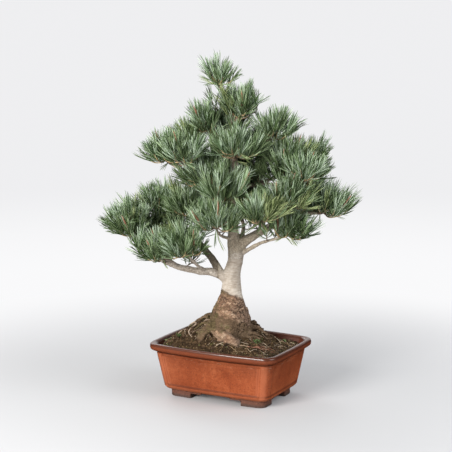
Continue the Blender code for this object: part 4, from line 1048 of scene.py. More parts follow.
def dressBark(mesh):
    points = relax(mesh, pointsOf(mesh), 6)
    mesh.vertices.foreach_set("co", points.astype(np.float32).ravel())
    mesh.update()
    normals = normalsOf(mesh)
    tree = potToTree(points - plantShift)
    axis = lines["trunk"]
    middle = np.stack([np.interp(tree[:, 2], axis[:, 2], axis[:, k]) for k in (0, 1)], -1)
    off = np.linalg.norm(tree[:, :2] - middle, axis=1)
    stem = 1 - smoothStep(off, np.interp(tree[:, 2], axis[:, 2], axis[:, 3]) * 1.15 + 0.001,
                          np.interp(tree[:, 2], axis[:, 2], axis[:, 3]) * 1.5 + 0.012)
    graft = barkPlan["graft"]
    edge = graft["level"] + graft["slope"] * (tree[:, 0] - middle[:, 0]) + 0.003 * softNoise(tree, 0.010, 31, 2)
    stock = 1 - smoothStep(tree[:, 2], edge - graft["width"], edge + graft["width"] * 0.4)
    stock = np.maximum(stock, tree[:, 2] < 0.17)
    plates = barkPlan["plates"]
    warp = np.stack([softNoise(tree, 0.008, 40 + k, 3) for k in range(3)], -1) * 0.0085
    far, own = plateNoise((tree + warp) / plates["size"], 1.0, 11)
    ragged = smoothStep(tree[:, 0] - middle[:, 0] + 0.012 * softNoise(tree, 0.02, 33, 2), -0.004, 0.020)
    broken = 0.25 + 0.75 * np.maximum(ragged, smoothStep(softNoise(tree, 0.024, 35, 2), 0.0, 0.4))
    crack = (1 - smoothStep(far, 0.01, plates["crack"])) * broken
    flakes = barkPlan["flakes"]
    farFine, ownFine = plateNoise((tree + warp * 0.6) / flakes["size"], 1.0, 17)
    crackFine = (1 - smoothStep(farFine, 0.02, 0.26)) * (0.4 + 0.6 * broken)
    lumps, grain = barkPlan["lumps"], barkPlan["grain"]
    lift = stock * (lumps["depth"] * softNoise(tree, lumps["size"], 3, 2)
                    - plates["depth"] * crack * (0.6 + ragged) + plates["depth"] * (own - 0.5) * (0.35 + ragged)
                    - flakes["depth"] * crackFine + flakes["depth"] * (ownFine - 0.5)
                    + grain["depth"] * softNoise(tree / grain["size"], 1.0, 5, 2))
    seam = np.exp(-((tree[:, 2] - edge + 0.0015) / 0.0016) ** 2) * smoothStep(softNoise(tree, 0.012, 37, 2), -0.6, 0.2)
    patch = (smoothStep(tree[:, 2], edge - 0.016, edge - 0.003) * (tree[:, 2] < edge)
             * smoothStep(middle[:, 0] - tree[:, 0] + 0.006 * softNoise(tree, 0.007, 38, 2), -0.002, 0.008))
    frontRoot = smoothLine([[*knot, 0.011] for knot in rootPlan["root_front"][1]], 12)
    onRoot = 1 - smoothStep(gapTo(tree, np.zeros(len(tree)), strokesOf(frontRoot)), 0.002, 0.007)
    onRoot *= 1 - smoothStep(tree[:, 2] + 0.004 * softNoise(tree, 0.006, 48, 2), 0.128, 0.137)
    lift -= stock * seam * 0.0008
    thin = 1 - smoothStep(0.140 - tree[:, 2] + 0.8 * (off - 0.050), 0.0, 0.010)  # the surface roots take less relief
    lift *= 0.25 + 0.75 * thin
    lift += onRoot * (0.0022 * softNoise(tree, 0.008, 45, 2) + 0.0008 * softNoise(tree, 0.0030, 46))
    knots, rings = barkPlan["knots"], barkPlan["rings"]
    limb = 1 - stock
    rough = limb * (1 - 0.75 * stem * (tree[:, 2] < 0.262))
    lift += limb * (knots["depth"] * softNoise(tree, knots["size"], 7, 2)
                    + rings["depth"] * softNoise(tree / rings["size"], 1.0, 9, 2))
    farLimb, ownLimb = plateNoise((tree + warp * 0.5) / np.array([0.0048, 0.0048, 0.0062]), 1.0, 23)
    crackLimb = 1 - smoothStep(farLimb, 0.02, 0.25)
    lift -= rough * crackLimb * 0.00035
    shoulder = smoothStep(tree[:, 2], edge - 0.030, edge - 0.003) * stock * stem
    lift += 0.0011 * shoulder
    points = points + normals * lift[:, None]
    mesh.vertices.foreach_set("co", points.astype(np.float32).ravel())
    low = smoothStep(0.175 - tree[:, 2] - 1.1 * np.abs(tree[:, 0] + 0.020), 0.0, 0.055)
    flank = smoothStep(middle[:, 0] - tree[:, 0] - 0.55 * (0.0400 - 0.25 * (tree[:, 2] - 0.112).clip(0, 0.1)), 0.0, 0.012)
    moss = stock * smoothStep(1.4 * softNoise(tree, 0.008, 51, 3) + 0.8 * low + 0.9 * flank - 0.45, 0.0, 0.75) * (1 - 0.5 * onRoot)
    moss *= smoothStep(tree[:, 2], 0.116, 0.132)
    under = smoothStep(0.160 - tree[:, 2] - 0.35 * (tree[:, 0] - middle[:, 0]), 0.0, 0.018)
    shade = stock * smoothStep(1.3 * softNoise(tree, 0.007, 55, 3) + 1.4 * under - 1.3 * onRoot, 0.15, 0.9)
    leftRoot = 1 - smoothStep(gapTo(tree, np.zeros(len(tree)), strokesOf(
        smoothLine([[*knot, 0.008] for knot in rootPlan["root_left"][1]], 8))), 0.001, 0.005)
    shade = np.maximum(shade, np.maximum(patch, leftRoot * 0.8))
    crack = np.maximum(crack * (1 - 0.6 * onRoot), seam)
    dark = smoothStep(tree[:, 2] + 0.012 * softNoise(tree, 0.016, 61, 2), 0.262, 0.282)
    pale = 1 - dark
    leftLow = lines["far_left"]
    near = gapTo(tree, np.zeros(len(tree)), strokesOf(leftLow, 1.35))
    pale = np.maximum(pale, (1 - smoothStep(near, 0.0, 0.004)) * (1 - smoothStep(-tree[:, 0] + 0.02 * softNoise(tree, 0.012, 63), 0.04, 0.095)))
    stub = gapTo(tree, np.zeros(len(tree)), strokesOf(lines["left_back"], 1.2))
    pale *= smoothStep(stub + 0.02 * (tree[:, 0] > -0.022), 0.0, 0.004)
    # the stub of left_back darker: its dark bark, and painted shadow over its end
    shade = np.maximum(shade, limb * (1 - smoothStep(stub, 0.0, 0.004)) * (tree[:, 0] < -0.024))
    notes = dict(stock=stock, crack=np.maximum(crack * stock, 0.0), crackFine=crackFine * stock,
                 plate=own, plateFine=ownFine, moss=moss, shade=shade, pale=pale, crackLimb=crackLimb * rough,
                 right=ragged * stock, bare=onRoot * smoothStep(softNoise(tree, 0.007, 47, 2), -0.35, 0.35),
                 # high: where the smooth bark takes painted shade under the crown
                 high=smoothStep(tree[:, 2], 0.205, 0.245))
    for key, values in notes.items():
        mesh.attributes.new(key, "FLOAT", "POINT").data.foreach_set("value", values.astype(np.float32))
    mesh.update()
    return mesh


def barkFinish():
    made = Finish("weathered pine bark", (0.30, 0.22, 0.16), Roughness=0.85, Specular_IOR_Level=0.25)
    place = made.place()
    fine = made.noise(place, 420, 4, 0.65)
    soft = made.noise(place, 60, 3)
    marks = made.noise(made.stretched(place, (90, 90, 620)), 1.0, 3, 0.6)
    flaky = made.noise(made.stretched(place, (130, 130, 430)), 1.0, 4, 0.7)
    plate, plateFine = made.attribute("plate"), made.attribute("plateFine")
    tone = plate * 0.22 + plateFine * 0.24 + flaky * 0.9 - 0.24
    stock = made.ramp(tone, (0.12, (0.085, 0.047, 0.029)), (0.36, (0.215, 0.122, 0.074)),
                      (0.56, (0.370, 0.236, 0.150)), (0.80, (0.610, 0.455, 0.330)))
    stock = made.mix(made.attribute("right") * 0.50, stock, made.mix(flaky.between(0.36, 0.60), (0.034, 0.022, 0.016), (0.270, 0.205, 0.160)))
    lines_ = made.noise(made.stretched(made.node("ShaderNodeVectorRotate", {"rotation_type": "Y_AXIS"},
                                                 {"Vector": place, "Angle": 0.7}), (150, 150, 620)), 1.0, 3, 0.6)
    stock = made.mix(lines_.between(0.52, 0.60) * 0.62, stock, (0.070, 0.038, 0.023))
    stock = made.mix(made.attribute("bare") * 0.45, stock, made.mix(flaky, (0.150, 0.100, 0.062), (0.480, 0.350, 0.255)))
    speck = made.specks(place, 210, 0.30)
    stock = made.mix((made.attribute("bare") + made.attribute("shade")).least(1.0) * speck * 0.5, stock, (0.060, 0.046, 0.016))
    stock = made.mix(made.attribute("crackFine") * 0.60, stock, (0.080, 0.043, 0.027))
    stock = made.mix(made.attribute("crack") * 0.80, stock, (0.030, 0.017, 0.011))
    stock = made.mix(made.attribute("shade") * 0.72, stock, made.mix(fine, (0.018, 0.012, 0.006), (0.135, 0.088, 0.046)))
    green = made.ramp(fine * 0.5 + flaky * 0.5, (0.36, (0.016, 0.012, 0.005)), (0.50, (0.062, 0.050, 0.017)),
                      (0.64, (0.185, 0.150, 0.060)))
    stock = made.mix((made.attribute("moss") * (0.05 + fine * 1.1)).least(0.72), stock, green)
    pale = made.ramp(marks * 0.55 + soft * 0.45, (0.34, (0.270, 0.222, 0.175)), (0.47, (0.400, 0.342, 0.284)),
                     (0.60, (0.500, 0.446, 0.382)))
    # painted shade: the smooth bark darker higher up, under the crown
    pale = made.mix(made.attribute("high") * 0.08, pale, (0.050, 0.040, 0.030))
    pale = made.mix(made.specks(made.stretched(place, (1, 1, 1.9)), 150, 0.15) * 0.6, pale, (0.120, 0.085, 0.060))
    brown = made.ramp(fine * 0.6 + soft * 0.4, (0.32, (0.185, 0.142, 0.102)), (0.52, (0.390, 0.332, 0.252)),
                      (0.70, (0.540, 0.480, 0.395)))
    limb = made.mix(made.attribute("pale"), brown, pale)
    limb = made.mix(made.attribute("crackLimb") * 0.45, limb, (0.075, 0.052, 0.036))
    # on the limbs, shade darkens the stub: its dark bark and painted shadow
    limb = made.mix(made.attribute("shade") * 0.62, limb, (0.046, 0.032, 0.021))
    made.give(Base_Color=made.mix(made.attribute("stock"), limb, stock))
    made.bump(fine * 0.5 + marks * 0.2 + flaky * 0.3, 0.0010, 0.8)
    return made


print("skinning the limbs")
bark = putObject("bark", dressBark(barkSkin()))
bark.data.materials.clear()
bark.data.materials.append(barkFinish().material)
bark.data.polygons.foreach_set("use_smooth", np.ones(len(bark.data.polygons), bool))
dress(bark, "bark", "trunk", *rootPlan, *[name + "_bough" for name in lines if name != "trunk"])


# Needles: tufts on the same seats as the solids', finer ones on side shoots between them, and old ones below

needlePlan = dict(
    length=0.050, width=0.00050, perBundle=5, rows=((0.0, 0.75), (0.45, 1.0), (0.86, 0.80)),
    mainTuft=dict(bundles=23, back=0.018, polar=(4, 37), length=(0.82, 1.00), open=0.70),
    sideTuft=dict(bundles=11, back=0.010, polar=(5, 40), length=(0.66, 0.90), open=0.65),
    innerTuft=dict(bundles=9, back=0.008, polar=(8, 58), length=(0.60, 0.90), open=0.65),
    wild=(0.15, (10, 36)),  # the share of bundles that lean out further, and by how many degrees
    oldNeedles=dict(bundles=6, polar=(55, 115), length=(0.55, 0.95), sag=0.30),
    leader=dict(levels=(0.462, 0.570), bundles=62, polar=(30, 80), length=(0.60, 0.95)),
    sideShoots=dict(places=(0.34, 0.62, 0.88), length=(0.014, 0.026), tilt=(30, 64), apart=0.013, rise=0.80),
    innerShoots=dict(apart=(0.015, 0.0075), outer=0.45, trunk=(0.335, 0.530), length=(0.010, 0.020), far=(0.020, 0.052)),
    fan=(0.020, 0.125), wideFan=(0.14, 1.7), curve=0.19, closing=(0.25, 0.85), own=0.10,
    fills=(  # more shoots: their carriers, middle, spread, count and tones
        # the first and the fourth fill shaded hollows with dark needles, painted shade
        (("right_high", "back_right_high", "right_shoulder"), (0.040, 0.040, 0.405), (0.022, 0.018, 0.028), 34, ("deep",)),
        (("far_left",), (-0.166, -0.030, 0.290), (0.009, 0.010, 0.004), 3, ("sage", "frost")),
        (("far_left",), (-0.142, -0.026, 0.264), (0.012, 0.010, 0.003), 3, ("sage", "olive")),
        (("left_back",), (-0.110, 0.030, 0.312), (0.020, 0.016, 0.010), 5, ("deep",)),
        (("trunk",), (0.036, 0.000, 0.528), (0.006, 0.006, 0.005), 2, ("frost", "sage")),
        (("trunk",), (0.002, -0.006, 0.543), (0.006, 0.006, 0.007), 4, ("olive", "frost")),
    ),
    small={"top": (1, 0.74)}, large={"crown_right": 1.10, "pad_outer": 0.88,
    "pad_front": 0.92, "far_left": 0.94, "centre_front": 0.93, "top": 0.95},  # one tuft of a mass made smaller, a mass made larger
    tones=("frost", "sage", "deep", "olive"),
)
toneColours = {  # the outer face of a needle, and its two inner ones with their pale lines
    "frost": ((0.108, 0.172, 0.078), (0.450, 0.555, 0.405)),
    "sage": ((0.080, 0.132, 0.045), (0.320, 0.420, 0.240)),
    # deep: dark needles that stand in for the shade inside the crown, painted shade
    "deep": ((0.026, 0.046, 0.014), (0.130, 0.182, 0.080)),
    "olive": ((0.112, 0.152, 0.048), (0.350, 0.410, 0.195)),
}
otherTones = {"frost": ("sage", "sage", "deep"), "sage": ("frost", "deep", "deep"), "deep": ("sage", "deep"),
              "olive": ("sage", "deep")}
bundleRows = []  # foot, way, length and tone of each bundle
strands = []  # lines of rows (u, v, z, radius) of the stems and twigs
shoots = []  # and of the young shoots that bear the needles
budRows = []  # place and way of each bud


def addBundle(place, way, shoot, length, tone):
    bundleRows.append((*place, *(way / np.linalg.norm(way)), *shoot, length, needlePlan["tones"].index(tone)))


def shootBundles(path, lean, plan, scale, tone, rng):
    # path runs back from the shoot's tip; bundles stand round it, close to its way at the tip, wide at its foot
    first = rng.uniform(0, 2 * math.pi)
    one, other = across(lean, np.array([1.0, 0.2, 0.1]) if abs(lean[0]) < 0.8 else np.array([0.1, 1.0, 0.2]))
    along = np.concatenate([[0.0], np.cumsum(np.linalg.norm(np.diff(path, axis=0), axis=1))])
    for i in range(plan["bundles"]):
        share = (i + rng.uniform(0, 0.9)) / plan["bundles"]
        place = np.array([np.interp(share * along[-1], along, path[:, k]) for k in range(3)])
        low, high = plan["polar"]
        polar = low + (high - low) * share ** plan["open"] + rng.uniform(-7, 7)
        if rng.random() < needlePlan["wild"][0]:
            polar += rng.uniform(*needlePlan["wild"][1])
        polar = math.radians(polar)
        turn = first + i * 2.39996 + rng.uniform(-0.3, 0.3)
        side = math.cos(turn) * one + math.sin(turn) * other
        way = lean * math.cos(polar) + side * math.sin(polar) + upwards * 0.06
        length = needlePlan["length"] * scale * rng.uniform(*plan["length"])
        mood = tone if rng.random() > 0.34 else rng.choice(otherTones[tone])
        addBundle(place + side * 0.0008, way, lean, length, mood)


def oldBundles(line, scale, rng):  # a few old needles along a stem, which stand out and sag
    plan = needlePlan["oldNeedles"]
    for _ in range(plan["bundles"]):
        k = rng.randrange(1, len(line) - 1)
        heading = line[k + 1, :3] - line[k - 1, :3]
        heading = heading / np.linalg.norm(heading)
        one, other = across(heading, upwards + np.array([0.1, 0.05, 0]))
        turn, polar = rng.uniform(0, 2 * math.pi), math.radians(rng.uniform(*plan["polar"]))
        way = heading * math.cos(polar) + (math.cos(turn) * one + math.sin(turn) * other) * math.sin(polar)
        way = way / np.linalg.norm(way) - upwards * plan["sag"] * rng.random()
        addBundle(line[k, :3], way, way, needlePlan["length"] * scale * rng.uniform(*plan["length"]),
                  "olive" if rng.random() < 0.4 else "sage")


def toneOf(mass, seat, inner, rng):  # painted light and shade: the pale tone more often higher up where the light falls, the dark one inside; old and yellow on two low boughs
    if inner and rng.random() < 0.7:
        return "deep"
    if rng.random() < (0.35 if mass["name"] in ("low_right", "right_front") else 0.05):
        return "olive"
    height = seat[2] - mass["at"][2]
    return "frost" if rng.random() < 0.55 + height * 14 else "sage"


def growMass(mass, seed, bough, cell):
    seats = tuftSeats(mass, seed)
    stem = stemLine(mass, bough, *seats[0])
    grown = [(stem, *seats[0])]
    for k, (seat, lean) in enumerate(seats[1:]):
        share = (twigPlan["leaves"][0] + twigPlan["leaves"][1] * k / len(seats)) * (len(stem) - 1)
        begin = np.array([np.interp(share, range(len(stem)), stem[:, axis]) for axis in range(3)])
        for pull in twigPlan["pulls"]:
            place = begin + (seat - begin) * pull
            twig = twigLine(begin, place, lean, twigPlan["steps"])
            ends = np.vstack([twig[:, :3], place + lean * massPlan["coreTop"]])
            wide = np.append(twig[:, 3], massPlan["coreRadius"])
            if not insideCell(ends, cell, massPlan["clear"]).all():
                continue
            if (gapTo(ends[1:], wide[1:], limbStrokes) > massPlan["clear"]).all():
                grown.append((twigLine(begin, place, lean, 8), place, lean))
                break
    grown[0] = (stemLine(mass, bough, *seats[0], 4), *seats[0])
    rng = random.Random(seed * 31 + 5)
    taken = [place for _, place, _ in grown]
    oldBundles(grown[0][0], mass["needle"], rng)
    small, less = needlePlan["small"].get(mass["name"], (-1, 1.0))
    for number, (line, place, lean) in enumerate(grown):
        scale = mass["needle"] * needlePlan["large"].get(mass["name"], 1.0) * (less if number == small else 1.0)
        tip = place + lean * massPlan["coreTop"]
        strands.append(line)
        shoots.append(np.vstack([line[-2:], [*(place + lean * 0.006), 0.0012], [*tip, 0.0008]]) * [1, 1, 1, 1.06])
        path = np.vstack([tip, place, *line[::-1, :3]])
        back = massPlan["coreTop"] + needlePlan["mainTuft"]["back"]
        along = np.concatenate([[0.0], np.cumsum(np.linalg.norm(np.diff(path, axis=0), axis=1))])
        path = np.stack([np.interp(np.linspace(0, min(back, along[-1]), 8), along, path[:, k]) for k in range(3)], -1)
        shootBundles(path, lean, needlePlan["mainTuft"], scale, toneOf(mass, place, False, rng), rng)
        if rng.random() < 0.36:
            budRows.append((*tip, *lean, scale * rng.uniform(0.034, 0.045)))
        sides = needlePlan["sideShoots"]
        for share in sides["places"]:
            spot = np.array([np.interp(share, np.linspace(0, 1, len(line)), line[:, k]) for k in range(3)])
            one, other = across(lean, np.array([1.0, 0.3, 0.0]) if abs(lean[0]) < 0.8 else np.array([0.0, 1.0, 0.3]))
            for _ in range(5):  # tries until it finds room
                turn = rng.uniform(0, 2 * math.pi)
                tilt = math.radians(rng.uniform(*sides["tilt"]))
                way = lean * math.cos(tilt) + (math.cos(turn) * one + math.sin(turn) * other) * math.sin(tilt)
                end = spot + way * rng.uniform(*sides["length"])
                way = way + upwards * sides["rise"]
                way = way / np.linalg.norm(way)
                apart = min(np.linalg.norm(end - other_) for other_ in taken)
                near = gapTo(end[None], np.array([0.001]), limbStrokes)[0]
                if apart > sides["apart"] and near > 0.003 and insideCell(end[None], cell, -0.005)[0]:
                    break
            else:
                continue
            taken.append(end)
            bend = (spot + end) / 2 - way * 0.003
            shoots.append(smoothLine([[*spot, 0.0011], [*bend, 0.0010], [*end, 0.0010], [*(end + way * 0.008), 0.0007]], 6))
            path = np.array([end + way * 0.009, end, (bend + end) / 2, bend])
            inner = end[2] < mass["at"][2] + 0.004
            shootBundles(path, way, needlePlan["sideTuft"], scale, toneOf(mass, end, inner, rng), rng)


def growInner():  # short shoots inside the crown, on the outer boughs and on the trunk, mostly with dark needles as painted shade
    plan, rng = needlePlan["innerShoots"], random.Random(17)
    for name, line in lines.items():
        steps = np.linalg.norm(np.diff(line[:, :3], axis=0), axis=1)
        along = np.concatenate([[0.0], np.cumsum(steps)])
        if name == "trunk":
            low, high = [np.interp(level, line[:, 2], along) for level in plan["trunk"]]
        else:
            low, high = plan["outer"] * along[-1], along[-1]
        apart = plan["apart"][name == "trunk"]
        at = low + apart * rng.random()
        while at < high:
            foot = np.array([np.interp(at, along, line[:, k]) for k in range(4)])
            turn = rng.uniform(0, 2 * math.pi)
            way = np.array([math.cos(turn), math.sin(turn), rng.uniform(0.1, 1.1)])
            if name == "trunk" and way[1] < 0:
                way[1] *= -1
            way = way / np.linalg.norm(way)
            end = foot[:3] + way * (foot[3] + rng.uniform(*plan["far" if name == "trunk" else "length"]))
            at += apart * rng.uniform(0.7, 1.3)
            if gapTo(end[None], np.array([0.001]), limbStrokes)[0] < 0.003:
                continue
            lean = way * 0.8 + upwards
            lean = lean / np.linalg.norm(lean)
            strands.append(smoothLine([[*foot[:3], 0.0013], [*((foot[:3] + end) / 2 - upwards * 0.002), 0.0011], [*end, 0.0009],
                                       [*(end + lean * 0.007), 0.0006]], 7))
            path = np.array([end + lean * 0.008, end, (foot[:3] + end) / 2])
            shootBundles(path, lean, needlePlan["innerTuft"], 0.95, "deep" if rng.random() < 0.72 else "sage", rng)


def growFills():  # shoots in the shade between the boughs, with dark needles as painted shade, and more where the crown would stay thin
    rng = random.Random(29)
    for names, middle, spread, shoots_, tones in needlePlan["fills"]:
        carriers = np.concatenate([lines[name] if name in lines else lines["trunk"][:1] for name in names])
        for number in range(shoots_):
            end = np.array([rng.gauss(value, wide) for value, wide in zip(middle, spread)])
            foot = carriers[np.argmin(np.linalg.norm(carriers[:, :3] - end, axis=1))]
            if gapTo(end[None], np.array([0.001]), limbStrokes)[0] < 0.003:
                continue
            wild = 0.7 if tones[0] == "deep" else 0.25
            lean = np.array([rng.gauss(0, wild), rng.gauss(0, wild), 0.8])
            lean = lean / np.linalg.norm(lean)
            bend = (foot[:3] + end) / 2 - upwards * 0.004
            strands.append(smoothLine([[*foot[:3], 0.0014], [*bend, 0.0012], [*end, 0.0010],
                                       [*(end + lean * 0.007), 0.0006]], 8))
            path = np.array([end + lean * 0.008, end, bend])
            shootBundles(path, lean, needlePlan["sideTuft"], 1.0, tones[number % len(tones)], rng)


def growLeader():  # old yellow-green needles round the leader below its top tuft
    plan, rng = needlePlan["leader"], random.Random(3)
    trunk = lines["trunk"]
    for i in range(plan["bundles"]):
        level = plan["levels"][0] + (plan["levels"][1] - plan["levels"][0]) * (i + rng.random()) / plan["bundles"]
        place = np.array([np.interp(level, trunk[:, 2], trunk[:, k]) for k in range(3)])
        polar, turn = math.radians(rng.uniform(*plan["polar"])), i * 2.39996
        way = upwards * math.cos(polar) + np.array([math.cos(turn), math.sin(turn), 0]) * math.sin(polar)
        addBundle(place, way, upwards, needlePlan["length"] * rng.uniform(*plan["length"]), ("olive", "frost", "sage")[i % 3])


def clearOfLimbs(rows):  # drops bundles that would run through a limb
    feet, ways, lengths = rows[:, :3], rows[:, 3:6], rows[:, 9]
    keep = np.ones(len(rows), bool)
    for share in (0.35, 0.7, 1.0):
        points = feet + ways * (lengths * share)[:, None]
        for low in range(0, len(rows), 4000):
            part = slice(low, low + 4000)
            keep[part] &= gapTo(points[part], np.zeros(len(points[part])), limbStrokes) > 0.0004
    return rows[keep]


def needleMesh(name, rows, finishes, seed, plan, toWorld):  # bundles of closed three-sided blades
    rng = np.random.RandomState(seed)
    count = plan["perBundle"]
    feet, ways, shoots, lengths = [np.repeat(rows[:, k], count, axis=0)
                                   for k in (slice(0, 3), slice(3, 6), slice(6, 9), 9)]
    total = len(feet)
    hint = np.where(np.abs(ways[:, 2:3]) > 0.9, np.array([[1.0, 0.0, 0.0]]), upwards[None])
    one = np.cross(ways, hint)
    one /= np.linalg.norm(one, axis=1)[:, None]
    other = np.cross(ways, one)
    turn = (np.repeat(rng.uniform(0, 2 * math.pi, len(rows)), count)
            + np.tile(np.arange(count), len(rows)) * 2 * math.pi / count + rng.uniform(-0.35, 0.35, total))
    side = np.cos(turn)[:, None] * one + np.sin(turn)[:, None] * other
    share, wider = plan["wideFan"]
    fan = rng.uniform(*plan["fan"], total) * np.repeat(np.where(rng.random_sample(len(rows)) < share, wider, 1.0), count)
    lengths = lengths * rng.uniform(0.86, 1.0, total)
    swing = np.repeat(rng.normal(0, plan["curve"], (len(rows), 3)), count, axis=0) + rng.normal(0, plan["own"], (total, 3))
    swing += (shoots - ways) * np.repeat(rng.uniform(*plan["closing"], len(rows)), count)[:, None]
    points = []
    edge = np.cross(ways, side)
    for share, wide in plan["rows"]:
        middle = feet + lengths[:, None] * (ways * share + side * (fan * share)[:, None] + swing * share**2 * 0.5)
        half = plan["width"] * wide
        for out, across_ in ((0.55, 1.0), (0.55, -1.0), (-0.85, 0.0)):
            points.append(middle + half * (out * side + across_ * edge))
    points.append(feet + lengths[:, None] * (ways + side * fan[:, None] + swing * 0.5))
    points = np.stack(points, 1)
    low = np.arange(total)[:, None] * points.shape[1]
    quads, slots = [], []
    mood = rng.random_sample(total)  # a third of the needles turn their pale faces out, another third their dark ones
    back, inside = (mood < 0.34).astype(int), (mood < 0.66).astype(int)
    for ring in range(2):
        for k in range(3):
            a, b = 3 * ring + k, 3 * ring + (k + 1) % 3
            quads.append(low + np.array([[a, b, b + 3, a + 3]]))
            slots.append(back if k == 0 else inside)
    tips = [low + np.array([[6, 7, 9]]), low + np.array([[7, 8, 9]]), low + np.array([[8, 6, 9]]), low + np.array([[2, 1, 0]])]
    slots += [back, inside, inside, inside]
    return meshOf(name, toWorld(points.reshape(-1, 3)), [np.concatenate(quads), np.concatenate(tips)],
                  finishes, np.concatenate(slots), smooth=False)


masses = [*map(limbOf, limbPlan), topPlan]
for seed, (mass, cell) in enumerate(zip(masses, cellsOf(masses))):
    if mass.get("via", True):
        bough = lines.get(mass["name"], lines["trunk"])
    else:
        bough = np.array([[np.interp(mass["leaves"], lines["trunk"][:, 2], lines["trunk"][:, k]) for k in range(4)]])
    growMass(mass, seed, bough, cell)
growInner()
growFills()
growLeader()
allRows = clearOfLimbs(np.array(bundleRows))
print("bundles:", len(allRows), "of", len(bundleRows), "on", len(strands), "stems, twigs and shoots")

massNodes = [mass["name"] + "_needles" for mass in masses]
largest = 2400  # bundles to a piece
for number, tone in enumerate(needlePlan["tones"]):
    outer, inner = [Finish("%s %s of needles" % (tone, part), colour, Roughness=rough, Specular_IOR_Level=0.35)
                    for part, colour, rough in zip(("backs", "insides"), toneColours[tone], (0.42, 0.55))]
    rows = allRows[allRows[:, 10] == number]
    parts = np.array_split(rows, max(1, math.ceil(len(rows) / largest)))
    for k, part in enumerate(parts):
        name = "needles_%s_%d" % (tone, k + 1)
        mesh = needleMesh(name, part, (outer, inner), 100 * number + k, needlePlan, treeToWorld)
        dress(putObject(name, mesh), "needles", *massNodes)


# Stems, twigs and young shoots, made by Geometry Nodes

twigFinish = Finish("young pine bark", (0.17, 0.11, 0.065), Roughness=0.8)
place = twigFinish.place()
scales = twigFinish.noise(place, 900, 2)
twigFinish.give(Base_Color=twigFinish.ramp(scales * 0.6 + twigFinish.noise(place, 130, 2) * 0.4,
                                           (0.36, (0.090, 0.058, 0.038)), (0.55, (0.210, 0.145, 0.095)),
                                           (0.70, (0.380, 0.290, 0.205))))
twigFinish.bump(scales, 0.0006, 0.7)


shootFinish = Finish("tan young shoot", (0.36, 0.26, 0.13), Roughness=0.7)
shootFinish.give(Base_Color=shootFinish.ramp(shootFinish.noise(shootFinish.place(), 260, 2),
                                             (0.36, (0.240, 0.150, 0.070)), (0.62, (0.480, 0.370, 0.200))))
for name, rows, finish in (("twigs", strands, twigFinish), ("youngShoots", shoots, shootFinish)):
    dress(tubesAlong(name, rows, finish, 6, treeToWorld), "bark", *massNodes)


# Buds

budPlan = dict(width=0.0025)
budFinish = Finish("resinous bud", (0.36, 0.12, 0.07), Roughness=0.5)
budFinish.give(Base_Color=budFinish.ramp(budFinish.noise(budFinish.place(), 500, 2), (0.35, (0.23, 0.078, 0.045)),
                                         (0.65, (0.46, 0.230, 0.145))))


def budMesh(rows):  # a pointed spindle at each tip
    sides, profile = 6, ((-0.2, 0.5), (0.15, 1.0), (0.5, 0.8), (0.8, 0.35))
    points, quads, ends = [], [], []
    for row in rows:
        place, way, length = np.array(row[:3]), np.array(row[3:6]), row[6]
        one, other = across(way, np.array([1.0, 0.2, 0.0]))
        low = len(points)
        for height, wide in profile:
            for k in range(sides):
                angle = 2 * math.pi * k / sides
                out = math.cos(angle) * one + math.sin(angle) * other
                points.append(place + way * height * length + out * wide * budPlan["width"])
        points += [place + way * length, place - way * 0.3 * length]
        quads.append(ringFaces(len(profile), sides, low))
        last = low + sides * (len(profile) - 1)
        k = np.arange(sides)
        ends.append(np.stack([last + k, last + (k + 1) % sides, np.full(sides, len(points) - 2)], -1))
        ends.append(np.stack([low + (k + 1) % sides, low + k, np.full(sides, len(points) - 1)], -1))
    return outwards(meshOf("buds", treeToWorld(points), [np.concatenate(quads), np.concatenate(ends)], (budFinish,)))


dress(putObject("buds", budMesh(budRows)), "bark", *massNodes)


# Weeds and moss shoots on the soil, made like the needles

weedPlan = dict(width=0.00065, perBundle=7, rows=((0.0, 0.5), (0.35, 1.0), (0.7, 0.9)), fan=(0.10, 0.55), wideFan=(0.3, 1.4),
                curve=0.20, closing=(0.0, 0.1), own=0.20, spread=0.0026)
weedSpots = (  # x and y in the planter's frame, how many bundles and how long
    (0.061, -0.019, 6, 0.0068), (0.064, -0.026, 3, 0.0050), (-0.1025, -0.060, 4, 0.0050), (-0.078, -0.060, 5, 0.0060),
    (-0.020, 0.062, 7, 0.0070), (0.085, 0.052, 4, 0.0050), (-0.092, 0.048, 6, 0.0060),
)
weedFinishes = [Finish("weed " + part, colour, Roughness=0.6)
                for part, colour in (("backs", (0.050, 0.078, 0.018)), ("insides", (0.135, 0.185, 0.060)))]
rng = random.Random(41)
rows = []
for x, y, count, length in weedSpots:
    for _ in range(count):
        px, py = x + rng.gauss(0, weedPlan["spread"]), y + rng.gauss(0, weedPlan["spread"])
        way = np.array([rng.gauss(0, 0.4), rng.gauss(0, 0.4), 1.0])
        foot = (px, py, soilHeight(px + plantShift[0], py + plantShift[1]) - 0.0006)
        rows.append((*foot, *(way / np.linalg.norm(way)), 0.0, 0.0, 1.0, length * rng.uniform(0.6, 1.1), 0))
dress(putObject("weeds", needleMesh("weeds", np.array(rows), weedFinishes, 5, weedPlan, potToWorld)), "soil", "soil")


# Floor, light and camera

cameraPlan = dict(azimuth=27.476, pitch=9.083, focal=1300.0, frameWide=452, far=2.4162, aimRight=-0.0096, aimUp=0.3218)


def lookFrom(azimuth, pitch):
    a, e = math.radians(azimuth), math.radians(pitch)
    back = np.array([math.sin(a) * math.cos(e), -math.cos(a) * math.cos(e), math.sin(e)])
    right = np.array([math.cos(a), math.sin(a), 0.0])
    return right, np.cross(back, right), back


